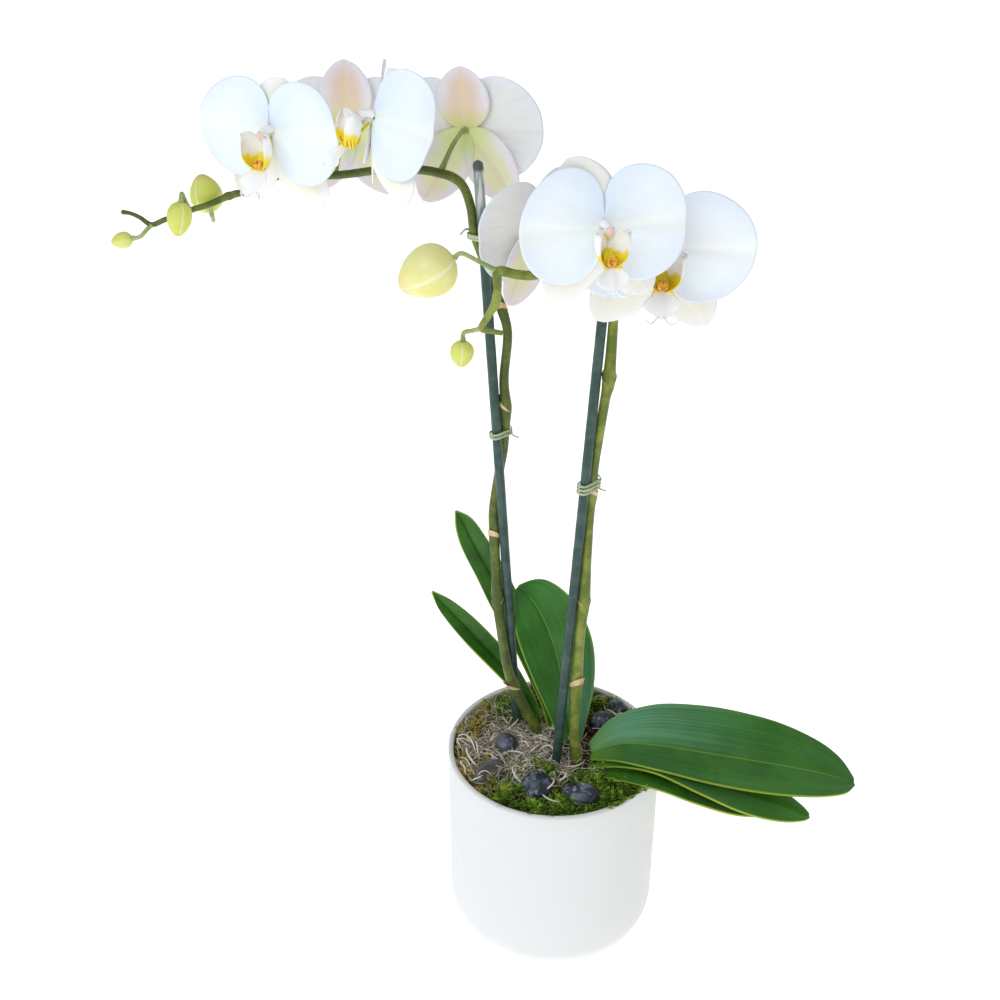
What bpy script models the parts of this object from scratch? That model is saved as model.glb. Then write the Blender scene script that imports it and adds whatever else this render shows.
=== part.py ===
"""A moth orchid with two arching flower spikes in a white ceramic pot.

Metres, +Z up, -Y is the front. The pot stands on z = 0 with its axis on Z.
Every height of the plant is counted from the top of the growing medium, so a
taller pot lifts the whole plant.
"""

from math import atan2, cos, pi, radians, sin, sqrt

import bmesh
import bpy
from mathutils import Matrix, Vector, noise

# Pot
POT_RADIUS = 0.075
POT_HEIGHT = 0.1534
POT_WALL = 0.004
POT_FLOOR = 0.006
POT_CORNER = 0.025
POT_SIDES = 48

# What fills the pot
SOIL_BELOW_RIM = 0.0104
MOSS_THICKNESS = 0.0065
MOSS_SWELL = 0.0016
TANGLE_THICKNESS = 0.0060
CLEARANCE = 0.00035

# Stakes and stems
STAKE_RADIUS = 0.0032
STAKE_DEPTH = 0.040
STEM_RADIUS = 0.0035
PEDICEL_RADIUS = 0.0017
TIE_RADIUS = 0.0007

# Flowers and leaves
FLOWER_SCALE = 1.0
TEPAL_THICKNESS = 0.0009
LEAF_THICKNESS = 0.0017
LEAF_WIDTH_SCALE = 1.0
NARROW_SIDE = 0.84

SOIL_TOP = POT_HEIGHT - SOIL_BELOW_RIM
INNER_RADIUS = POT_RADIUS - POT_WALL
GROUND = SOIL_TOP + CLEARANCE
SPREAD = INNER_RADIUS / 0.071

COLOURS = {
    "ceramic": (0.86, 0.86, 0.84),
    "bark": (0.10, 0.06, 0.04),
    "moss": (0.17, 0.26, 0.05),
    "fibre": (0.52, 0.47, 0.36),
    "pebble": (0.07, 0.08, 0.10),
    "leaf": (0.06, 0.20, 0.05),
    "stem": (0.17, 0.24, 0.07),
    "stake": (0.05, 0.12, 0.12),
    "raffia": (0.40, 0.46, 0.26),
    "bud": (0.55, 0.62, 0.20),
    "sepal": (0.86, 0.84, 0.74),
    "petal": (0.90, 0.91, 0.93),
    "lip": (0.90, 0.80, 0.35),
    "column": (0.92, 0.86, 0.84),
}

for old in list(bpy.data.objects):
    bpy.data.objects.remove(old, do_unlink=True)


def material(kind):
    found = bpy.data.materials.get(kind)
    if found is None:
        found = bpy.data.materials.new(kind)
        found.use_nodes = True
        shader = found.node_tree.nodes["Principled BSDF"]
        shader.inputs["Base Color"].default_value = (*COLOURS[kind], 1)
        shader.inputs["Roughness"].default_value = 0.5
    return found


def add(name, points, faces, kind):
    """One named object, closed and facing out, shaded smooth."""
    mesh = bpy.data.meshes.new(name)
    mesh.from_pydata([tuple(p) for p in points], [], faces)
    shape = bmesh.new()
    shape.from_mesh(mesh)
    bmesh.ops.recalc_face_normals(shape, faces=shape.faces)
    shape.to_mesh(mesh)
    shape.free()
    mesh.materials.append(material(kind))
    mesh.shade_smooth()
    made = bpy.data.objects.new(name, mesh)
    bpy.context.scene.collection.objects.link(made)
    return made


def drop_crumbs(mesh):
    """Keeps the piece of a mesh with the most faces: a cut can leave slivers loose."""
    shape = bmesh.new()
    shape.from_mesh(mesh)
    bmesh.ops.dissolve_degenerate(shape, dist=2e-6, edges=shape.edges)
    left = set(shape.faces)
    pieces = []
    while left:
        piece = {left.pop()}
        front = list(piece)
        while front:
            for edge in front.pop().edges:
                for face in edge.link_faces:
                    if face not in piece:
                        piece.add(face)
                        front.append(face)
        left -= piece
        pieces.append(piece)
    pieces.sort(key=len)
    crumbs = [face for piece in pieces[:-1] for face in piece]
    bmesh.ops.delete(shape, geom=crumbs, context="FACES")
    shape.to_mesh(mesh)
    shape.free()


def combine(target, others, operation):
    """Joins or cuts with each other solid in turn, then removes it."""
    for other in others:
        step = target.modifiers.new(operation.lower(), "BOOLEAN")
        step.operation = operation
        step.solver = "MANIFOLD"
        step.object = other
        graph = bpy.context.evaluated_depsgraph_get()
        result = bpy.data.meshes.new_from_object(target.evaluated_get(graph))
        target.modifiers.clear()
        target.data = result
        bpy.data.objects.remove(other, do_unlink=True)
    drop_crumbs(target.data)
    target.data.shade_smooth()
    return target


def smooth_path(points, steps):
    """Catmull-Rom through points of any number of coordinates."""
    out = []
    last = len(points) - 1
    for i in range(last):
        a, b = points[max(i - 1, 0)], points[i]
        c, d = points[i + 1], points[min(i + 2, last)]
        for k in range(steps):
            t = k / steps
            out.append([
                0.5 * (2 * q + (r - p) * t + (2 * p - 5 * q + 4 * r - s) * t * t
                       + (3 * q - p - 3 * r + s) * t ** 3)
                for p, q, r, s in zip(a, b, c, d)
            ])
    out.append(list(points[last]))
    return out


def tube(name, path, radii, kind, sides=8, pointed=False):
    """A round rod along a path, its ends closed flat or brought to a blunt point."""
    path = [Vector(p) for p in path]
    count = len(path)
    normal = None
    points = []
    for i, centre in enumerate(path):
        along = (path[min(i + 1, count - 1)] - path[max(i - 1, 0)]).normalized()
        if normal is None:
            normal = along.orthogonal().normalized()
        normal = (normal - along * normal.dot(along)).normalized()
        across = along.cross(normal)
        for k in range(sides):
            turn = 2 * pi * k / sides
            points.append(centre + radii[i] * (cos(turn) * normal + sin(turn) * across))
    faces = [
        (i * sides + k, i * sides + (k + 1) % sides,
         (i + 1) * sides + (k + 1) % sides, (i + 1) * sides + k)
        for i in range(count - 1) for k in range(sides)
    ]
    faces.append(tuple(range(sides)))
    if pointed:
        tip = path[-1] + (path[-1] - path[-2]).normalized() * radii[-1] * 0.7
        points.append(tip)
        base = (count - 1) * sides
        faces += [(base + k, base + (k + 1) % sides, len(points) - 1) for k in range(sides)]
    else:
        faces.append(tuple((count - 1) * sides + k for k in range(sides)))
    return add(name, points, faces, kind)


def turned(name, profile, kind, sides):
    """A solid of revolution about Z; the profile starts and ends on the axis."""
    points = [Vector((0, 0, profile[0][1])), Vector((0, 0, profile[-1][1]))]
    rings = profile[1:-1]
    for radius, height in rings:
        for k in range(sides):
            turn = 2 * pi * k / sides
            points.append(Vector((radius * cos(turn), radius * sin(turn), height)))
    faces = []
    for i in range(len(rings) - 1):
        for k in range(sides):
            a, b = 2 + i * sides + k, 2 + i * sides + (k + 1) % sides
            faces.append((a, b, b + sides, a + sides))
    end = 2 + (len(rings) - 1) * sides
    for k in range(sides):
        faces.append((0, 2 + k, 2 + (k + 1) % sides))
        faces.append((1, end + k, end + (k + 1) % sides))
    return add(name, points, faces, kind)


def layer(name, centre, reach, bottom, top, kind, spokes=40, rings=5):
    """A flat-bottomed mat about a centre with its own outline and top surface."""
    points, faces = [], []
    for side in (0, 1):
        for ring in range(rings + 1):
            for k in range(spokes if ring else 1):
                turn = 2 * pi * k / spokes
                far = reach(turn) * ring / rings
                x, y = centre[0] + far * cos(turn), centre[1] + far * sin(turn)
                points.append(Vector((x, y, top(x, y) if side else bottom)))
    sheet = 1 + rings * spokes
    for side in (0, sheet):
        for k in range(spokes):
            after = (k + 1) % spokes
            faces.append((side, side + 1 + k, side + 1 + after))
            for ring in range(rings - 1):
                a = side + 1 + ring * spokes
                faces.append((a + k, a + spokes + k, a + spokes + after, a + after))
    edge = 1 + (rings - 1) * spokes
    for k in range(spokes):
        after = (k + 1) % spokes
        faces.append((edge + k, edge + after, sheet + edge + after, sheet + edge + k))
    return add(name, points, faces, kind)


def pebble(name, spot, size, turn, kind="pebble", extra=0.0):
    """A worn stone: a stretched ball with low bumps, grown by extra for a cutter."""
    shape = bmesh.new()
    bmesh.ops.create_uvsphere(shape, u_segments=10, v_segments=7, radius=1)
    spin = Matrix.Rotation(radians(turn), 3, "Z") @ Matrix.Rotation(radians(12), 3, "X")
    where = Vector(spot)
    for vertex in shape.verts:
        bump = 1 + 0.10 * noise.noise(vertex.co * 1.3 + where * 90)
        half = Vector([side / 2 + extra for side in size])
        vertex.co = spin @ Vector([c * h * bump for c, h in zip(vertex.co, half)]) + where
    mesh = bpy.data.meshes.new(name)
    shape.to_mesh(mesh)
    shape.free()
    mesh.materials.append(material(kind))
    mesh.shade_smooth()
    made = bpy.data.objects.new(name, mesh)
    bpy.context.scene.collection.objects.link(made)
    return made


# ---------------------------------------------------------------- pot and filling

corner_steps = 5
outer = [
    (POT_RADIUS - POT_CORNER * (1 - sin(pi / 2 * k / corner_steps)),
     POT_CORNER * (1 - cos(pi / 2 * k / corner_steps)))
    for k in range(corner_steps + 1)
]
inner_corner = POT_CORNER - POT_WALL
inner = [
    (INNER_RADIUS - inner_corner * (1 - cos(pi / 2 * k / 4)),
     POT_FLOOR + inner_corner * (1 - sin(pi / 2 * k / 4)))
    for k in range(5)
]
rim = [
    (POT_RADIUS - POT_WALL / 2 * (1 - cos(turn)),
     POT_HEIGHT - POT_WALL / 2 * (1 - sin(turn)))
    for turn in (0, pi / 4, pi / 2, 3 * pi / 4, pi)
]
turned("pot", [(0, 0)] + outer + rim + inner + [(0, POT_FLOOR)], "ceramic", POT_SIDES)

fill_gap = [
    (radius - CLEARANCE, height + CLEARANCE) for radius, height in inner[::-1]
]
medium = turned(
    "growing_medium",
    [(0, POT_FLOOR + CLEARANCE)] + fill_gap
    + [(INNER_RADIUS - CLEARANCE, SOIL_TOP), (0, SOIL_TOP)],
    "bark", POT_SIDES,
)

# Each stake runs straight from its soil point to its tip; heights count from the medium.
STAKES = {
    "stake_left": ((-0.0255, 0.0300, 0.0), (-0.0517, 0.0620, 0.4061)),
    "stake_right": ((0.0010, -0.0133, 0.0), (0.0260, 0.0244, 0.3600)),
}


def stake_at(name, height):
    low, high = (Vector(p) for p in STAKES[name])
    return low.lerp(high, height / high.z) + Vector((0, 0, SOIL_TOP))


def stake(name, label, grow=0.0, kind="stake"):
    foot, tip = stake_at(name, -STAKE_DEPTH), stake_at(name, STAKES[name][1][2])
    radius = STAKE_RADIUS + grow
    along = (tip - foot).normalized()
    path = [foot - along * grow, tip, tip + along * STAKE_RADIUS * 0.6]
    return tube(label, path, [radius, radius, radius * 0.6], kind, 10)


for each in STAKES:
    stake(each, each)
combine(medium, [stake(each, "hole", CLEARANCE) for each in STAKES], "DIFFERENCE")

# Stems: (height, direction round the stake, free distance from it, thickness share)
LEFT_BESIDE = [
    (0.0024, -41, 0.0165, 1.06), (0.020, -53, 0.0085, 1.05), (0.041, -88, 0.0012, 1.12),
    (0.060, -125, 0.0003, 1.0), (0.090, -158, 0.0003, 0.98), (0.109, -172, 0.0003, 1.10),
    (0.132, 175, 0.0003, 0.96), (0.155, 160, 0.0003, 0.95), (0.174, 138, 0.0003, 1.06),
    (0.199, 98, 0.0003, 0.92), (0.218, 62, 0.0003, 0.91), (0.234, 38, 0.0003, 0.90),
    (0.250, 20, 0.0003, 1.02), (0.270, 22, 0.0010, 0.88), (0.299, 10, 0.0048, 0.87),
    (0.315, 20, 0.0028, 0.86), (0.332, 58, 0.0003, 0.85), (0.348, 102, 0.0003, 0.85),
    (0.363, 141, 0.0003, 0.84), (0.379, 152, 0.0006, 0.83),
]
RIGHT_BESIDE = [
    (0.0012, -2, 0.0082, 1.10), (0.012, 0, 0.0060, 1.05), (0.035, 2, 0.0028, 1.0),
    (0.067, 4, 0.0008, 1.14), (0.105, 8, 0.0003, 1.0), (0.131, 14, 0.0003, 1.10),
    (0.163, 28, 0.0003, 0.97), (0.190, 42, 0.0003, 0.96), (0.207, 48, 0.0003, 1.10),
    (0.225, 46, 0.0003, 0.94), (0.246, 34, 0.0003, 0.93), (0.272, 14, 0.0006, 0.92),
    (0.285, 10, 0.0010, 1.06), (0.316, 14, 0.0008, 0.90), (0.341, 30, 0.0008, 0.88),
]
# Then the free arch: offsets in metres with height over the medium, and thickness.
LEFT_ARCH = [
    (-0.0605, 0.0695, 0.3900, 0.83), (-0.0667, 0.0735, 0.3950, 0.83),
    (-0.0754, 0.0785, 0.3965, 0.82), (-0.0878, 0.0860, 0.3965, 0.80),
    (-0.1084, 0.0970, 0.3940, 0.79), (-0.1450, 0.1110, 0.3860, 0.75),
    (-0.1625, 0.1155, 0.3870, 0.72), (-0.1790, 0.1175, 0.3850, 0.70),
    (-0.1985, 0.1155, 0.3756, 0.66), (-0.2120, 0.1090, 0.3736, 0.62),
    (-0.2250, 0.1010, 0.3700, 0.58), (-0.2365, 0.0950, 0.3678, 0.55),
    (-0.2516, 0.0890, 0.3636, 0.50), (-0.2600, 0.0870, 0.3610, 0.48),
    (-0.2665, 0.0860, 0.3660, 0.40), (-0.2720, 0.0850, 0.3690, 0.36),
    (-0.2767, 0.0840, 0.3701, 0.44),
]
RIGHT_ARCH = [
    (0.0315, 0.0320, 0.3520, 0.88), (0.0275, 0.0315, 0.3680, 0.88),
    (0.0180, 0.0260, 0.3800, 0.86), (0.0055, 0.0170, 0.3765, 0.84),
    (-0.0065, 0.0060, 0.3680, 0.82), (-0.0166, -0.0030, 0.3610, 0.80),
    (-0.0282, -0.0065, 0.3620, 0.78), (-0.0390, -0.0070, 0.3640, 0.84),
    (-0.0395, -0.0065, 0.3550, 0.70), (-0.0407, -0.0060, 0.3445, 0.78),
    (-0.0452, -0.0050, 0.3360, 0.60), (-0.0490, -0.0040, 0.3280, 0.58),
    (-0.0430, -0.0040, 0.3262, 0.46), (-0.0368, -0.0040, 0.3250, 0.44),
]


def stem_path(side, beside, arch):
    """Control points (x, y, z, radius) of a stem that hugs its stake, then arches."""
    controls = []
    for height, turn, free, share in beside:
        radius = STEM_RADIUS * share
        apart = STAKE_RADIUS + radius + CLEARANCE + free
        way = Vector((cos(radians(turn)), sin(radians(turn)), 0))
        spot = stake_at(side, height) + apart * way
        controls.append([*spot, radius])
    for x, y, height, share in arch:
        controls.append([x, y, SOIL_TOP + height, STEM_RADIUS * share])
    return controls


def stem(name, controls, grow=0.0, steps=2):
    rings = smooth_path(controls, steps)
    return tube(name, [r[:3] for r in rings], [r[3] + grow for r in rings], "stem", 8, True)


left_controls = stem_path("stake_left", LEFT_BESIDE, LEFT_ARCH)
right_controls = stem_path("stake_right", RIGHT_BESIDE, RIGHT_ARCH)


# ------------------------------------------------------------------- flowers

def flower_frame(spot, yaw, pitch, roll):
    """Local x to the right and y up as the flower is faced, z out of its face."""
    yaw, pitch, roll = radians(yaw), radians(pitch), radians(roll)
    out = Vector((sin(yaw) * cos(pitch), -cos(yaw) * cos(pitch), sin(pitch)))
    flat = Vector((cos(yaw), sin(yaw), 0))
    rise = out.cross(flat)
    right = cos(roll) * flat + sin(roll) * rise
    up = cos(roll) * rise - sin(roll) * flat
    frame = Matrix((right, up, out)).transposed().to_4x4()
    frame.translation = Vector(spot)
    return frame


def lobe(turn, axis, length, width):
    """How far an oval that touches the centre reaches in one direction."""
    c, s = cos(turn - axis), sin(turn - axis)
    if c <= 0:
        return 0.0
    a, b = length / 2, width / 2
    return 2 * a * b * b * c / (b * b * c * c + a * a * s * s)


def sheet(name, frame, centre, reach, rise, thickness, kind, spokes, rings, start=0.5):
    """A thin lobed sheet about a centre; rise gives its height over the flower face."""
    points, faces = [], []
    for side in (-0.5, 0.5):
        for ring in range(rings + 1):
            share = (ring / rings) ** 0.85
            for k in range(spokes if ring else 1):
                turn = 2 * pi * (k + start) / spokes
                far = reach(turn) * share
                x, y = centre[0] + far * cos(turn), centre[1] + far * sin(turn)
                points.append(frame @ Vector((x, y, rise(x, y) + side * thickness)))
    size = 1 + rings * spokes
    for side in (0, size):
        for k in range(spokes):
            after = (k + 1) % spokes
            faces.append((side, side + 1 + k, side + 1 + after))
            for ring in range(rings - 1):
                a = side + 1 + ring * spokes
                faces.append((a + k, a + spokes + k, a + spokes + after, a + after))
    edge = 1 + (rings - 1) * spokes
    for k in range(spokes):
        after = (k + 1) % spokes
        faces.append((edge + k, edge + after, size + edge + after, size + edge + k))
    return add(name, points, faces, kind)


SEPAL_RISE = -(TEPAL_THICKNESS + CLEARANCE) * 0.68
PETAL_RISE = (TEPAL_THICKNESS + CLEARANCE) * 0.32


def flower(name, spot, width, yaw, pitch, roll, petal_height, top_sepal, bend):
    """Sepals behind, petals in front of them, then lip and column, each with a gap."""
    frame = flower_frame(spot, yaw, pitch, roll)
    width = width * FLOWER_SCALE

    def sepal_reach(turn):
        return max(
            lobe(turn, radians(90 + top_sepal[1]), top_sepal[0] * width, 0.34 * width),
            lobe(turn, radians(-54), 0.53 * width, 0.32 * width),
            lobe(turn, radians(-126), 0.53 * width, 0.32 * width),
        )

    def petal_reach(turn):
        return max(
            lobe(turn, radians(1), 0.50 * width, petal_height * width),
            lobe(turn, radians(179), 0.50 * width, petal_height * width),
            0.055 * width,
        )

    def lip_reach(turn):
        wing = 0.0
        for axis in (38, 142):
            wing = max(wing, lobe(turn, radians(axis), 0.13 * width, 0.14 * width))
        return max(
            wing,
            lobe(turn, radians(90), 0.135 * width, 0.075 * width),
            lobe(turn, radians(-90), 0.14 * width, 0.13 * width),
            0.03 * width,
        )

    def sepal_rise(x, y):
        return SEPAL_RISE - bend[0] / width * (x * x + y * y) - bend[2] * abs(x)

    def petal_rise(x, y):
        return (PETAL_RISE + bend[1] / width * x * x - 0.10 / width * y * y
                - bend[2] * abs(x))

    petal_face = PETAL_RISE + TEPAL_THICKNESS / 2
    claw = -0.035 * width

    def lip_rise(x, y):
        down = max(claw - y, 0)
        side = max(abs(x) - 0.02 * width, 0)
        fall = max(-0.24 * width - y, 0)
        return (petal_face + CLEARANCE + 0.00055 + 0.85 * down + 0.75 * side
                - 0.9 * fall)

    sheet(name + "_sepals", frame, (0, 0), sepal_reach, sepal_rise,
          TEPAL_THICKNESS, "sepal", 30, 2)
    sheet(name + "_petals", frame, (0, 0), petal_reach, petal_rise,
          TEPAL_THICKNESS, "petal", 30, 2)
    sheet(name + "_lip", frame, (0, -0.17 * width), lip_reach, lip_rise,
          0.0008, "lip", 20, 2, start=0)
    base = petal_face + CLEARANCE
    path = [(0, 0.020 * width, base), (0, 0.020 * width, base + 0.030 * width),
            (0, 0.006 * width, base + 0.085 * width)]
    tube(name + "_column", [frame @ Vector(p) for p in path],
         [0.030 * width, 0.028 * width, 0.030 * width], "column", 8, True)
    return frame


def pedicel(name, start, frame, sweep, radius=PEDICEL_RADIUS):
    """A flower stalk from a point inside the stem to just behind the sepals."""
    out = frame.to_3x3() @ Vector((0, 0, 1))
    seat = SEPAL_RISE - TEPAL_THICKNESS / 2 - CLEARANCE - 0.0004 - sweep * radius
    end = frame.translation + out * seat
    near = end - out * 0.009
    start = Vector(start)
    middle = start.lerp(near, 0.55) + Vector((0, 0, 0.002))
    path = smooth_path([start, middle, near, end], 3)
    return tube(name, path, [radius * (0.9 + 0.02 * i) for i in range(len(path))],
                "stem", 8)


def on_stem(controls, index):
    return Vector(controls[index][:3])


# (name, junction over the medium, width, yaw, pitch, roll, petal height as a share of
#  width, (top sepal length share, its lean), (sepal bend, petal bend, sweep back),
#  stem point of the stalk)
LEFT_FLOWERS = [
    ("flower_1", (-0.1792, 0.0900, 0.4187), 0.102, -26, 2, 0, 0.60, (0.33, -16),
     (0.22, 0.10, 0.0), -10),
    ("flower_2", (-0.1375, 0.1420, 0.4100), 0.097, 176, 0, 0, 0.62, (0.44, 0),
     (0.25, 0.05, 0.0), -12),
    ("flower_3", (-0.1129, 0.0620, 0.4339), 0.096, -66, 14, 2, 0.65, (0.33, -20),
     (0.22, 0.00, 0.40), -13),
    ("flower_4", (-0.0598, 0.1010, 0.4176), 0.100, 162, 0, -5, 0.62, (0.39, 3),
     (0.25, 0.05, 0.0), -15),
]
RIGHT_FLOWERS = [
    ("flower_5", (0.0175, -0.0400, 0.4009), 0.094, 14, 4, 0, 0.67, (0.44, 28),
     (0.22, 0.10, 0.0), -9),
    ("flower_6", (-0.0142, 0.0310, 0.3773), 0.094, -140, 0, 2, 0.62, (0.40, 20),
     (0.22, 0.05, 0.0), -11),
    ("flower_7", (0.0537, -0.0040, 0.3776), 0.108, 3, 4, -4, 0.59, (0.35, 18),
     (0.18, 0.10, 0.0), -14),
]
# Buds: (name, centre over the medium, length, width, lean, stem point)
LEFT_BUDS = [
    ("bud_1", (-0.2300, 0.1160, 0.3722), 0.0245, 0.0210, (-0.2, 0.1, 1.0), -7),
    ("bud_2", (-0.2405, 0.0815, 0.3666), 0.0215, 0.0155, (-0.2, -0.1, -1.0), -6),
    ("bud_3", (-0.2790, 0.0830, 0.3520), 0.0135, 0.0105, (-1.0, 0.0, -0.2), -4),
]
RIGHT_BUDS = [
    ("bud_4", (-0.0793, -0.0110, 0.3648), 0.0345, 0.0300, (-0.85, -0.1, -0.45), -7),
    ("bud_5", (-0.0608, -0.0030, 0.3115), 0.0160, 0.0140, (-0.1, 0.0, -1.0), -3),
]


def bud(name, spot, length, width, lean):
    """An oval bud, fuller towards its stalk, lying along lean; returns its base."""
    axis = Vector(lean).normalized()
    centre = Vector(spot) + Vector((0, 0, SOIL_TOP))
    turn = axis.to_track_quat("Z", "Y").to_matrix()
    shape = bmesh.new()
    bmesh.ops.create_uvsphere(shape, u_segments=10, v_segments=8, radius=1)
    for vertex in shape.verts:
        x, y, z = vertex.co
        full = 1 - 0.16 * z
        vertex.co = centre + turn @ Vector(
            (x * full * width / 2, y * full * width / 2, z * length / 2))
    mesh = bpy.data.meshes.new(name)
    shape.to_mesh(mesh)
    shape.free()
    mesh.materials.append(material("bud"))
    mesh.shade_smooth()
    made = bpy.data.objects.new(name, mesh)
    bpy.context.scene.collection.objects.link(made)
    return centre - axis * (length / 2 + CLEARANCE + 0.0002), axis


def bud_stalk(name, start, base, axis):
    start = Vector(start)
    near = base - axis * 0.005
    middle = start.lerp(near, 0.5)
    path = smooth_path([start, middle, near, base], 2)
    return tube(name, path, [PEDICEL_RADIUS * 0.8] * len(path), "stem", 6)


def spike(name, controls, flowers, buds):
    """A stem with every stalk that leaves it, as one piece."""
    stalks = []
    for label, spot, width, yaw, pitch, roll, tall, top, bend, index in flowers:
        where = (spot[0], spot[1], spot[2] + SOIL_TOP)
        frame = flower(label, where, width, yaw, pitch, roll, tall, top, bend)
        stalks.append(pedicel("stalk", on_stem(controls, index), frame, bend[2]))
    for label, spot, length, width, lean, index in buds:
        base, axis = bud(label, spot, length, width, lean)
        stalks.append(bud_stalk("stalk", on_stem(controls, index), base, axis))
    combine(stem(name, controls), stalks, "UNION")


spike("spike_left", left_controls, LEFT_FLOWERS, LEFT_BUDS)
spike("spike_right", right_controls, RIGHT_FLOWERS, RIGHT_BUDS)


# ---------------------------------------------------------------------- ties

def tie(name, side, beside, height, turns, pitch):
    """A cord wound round a stake and the stem beside it."""
    low = max(row for row in beside if row[0] <= height)
    high = min(row for row in beside if row[0] > height)
    share = (height - low[0]) / (high[0] - low[0])
    turn = low[1] + (high[1] - low[1]) * share
    free = low[2] + (high[2] - low[2]) * share
    thick = STEM_RADIUS * (low[3] + (high[3] - low[3]) * share)
    apart = STAKE_RADIUS + thick + CLEARANCE + free
    way = Vector((cos(radians(turn)), sin(radians(turn)), 0))
    across = Vector((-way.y, way.x, 0))
    stake_axis = (stake_at(side, 0.3) - stake_at(side, 0.1)).normalized()
    clear = CLEARANCE + TIE_RADIUS + 0.0007
    path = []
    steps = int(12 * turns)
    for k in range(steps + 1):
        angle = 2 * pi * k / 12
        c, s = cos(angle), sin(angle)
        along = apart if c > 0 else 0.0
        round_to = (thick if c > 0 else STAKE_RADIUS) + clear
        spot = way * (along + round_to * c) + across * (
            (thick + (STAKE_RADIUS - thick) * (0.5 - 0.5 * c) + clear) * s)
        rise = pitch * (k / 12 - turns / 2)
        path.append(stake_at(side, height) + spot + stake_axis * rise)
    tube(name, path, [TIE_RADIUS] * len(path), "raffia", 5)


tie("tie_left_upper", "stake_left", LEFT_BESIDE, 0.363, 2.0, 0.0019)
tie("tie_left_lower", "stake_left", LEFT_BESIDE, 0.232, 2.0, 0.0024)
tie("tie_right", "stake_right", RIGHT_BESIDE, 0.214, 3.0, 0.0026)


# -------------------------------------------------------------------- leaves

def leaf(name, midrib, side_low, side_high, half_width, fold, grow=0.0):
    """A keeled strap leaf. midrib rows: (x, y, height, share of half width)."""
    rows = smooth_path([list(row) for row in midrib], 2)
    count = len(rows)
    half = half_width * LEAF_WIDTH_SCALE
    sheets = ([], [])
    for i, (x, y, height, share) in enumerate(rows):
        ahead = rows[min(i + 1, count - 1)]
        back = rows[max(i - 1, 0)]
        along = (Vector(ahead[:3]) - Vector(back[:3])).normalized()
        t = i / (count - 1)
        side = Vector(side_low).lerp(Vector(side_high), t)
        side = (side - along * side.dot(along)).normalized()
        normal = side.cross(along)
        if normal.z < 0 and abs(normal.z) > abs(normal.y):
            normal = -normal
        bend = radians(fold[0] + (fold[1] - fold[0]) * t)
        spot = Vector((x, y, height + SOIL_TOP)) + along * grow * ((t == 1) - (t == 0))
        for across in (-1.0, -0.55, 0.0, 0.55, 1.0):
            reach = across * (half * max(share, 0.02) + grow)
            if across < 0:
                reach *= NARROW_SIDE
            raised = abs(reach) * sin(bend)
            at = spot + side * reach * cos(bend) + normal * raised
            thick = (LEAF_THICKNESS * (1.0 - 0.45 * abs(across)) + grow) / 2
            sheets[0].append(at + normal * thick)
            sheets[1].append(at - normal * thick)
    points = sheets[0] + sheets[1]
    lower = len(sheets[0])
    faces = []
    for base in (0, lower):
        for i in range(count - 1):
            for k in range(4):
                a = base + i * 5 + k
                faces.append((a, a + 1, a + 6, a + 5))
    for i in range(count - 1):
        for k in (0, 4):
            a = i * 5 + k
            faces.append((a, a + 5, a + 5 + lower, a + lower))
    for i in (0, count - 1):
        for k in range(4):
            a = i * 5 + k
            faces.append((a, a + 1, a + 1 + lower, a + lower))
    return add(name, points, faces, "leaf")


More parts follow.
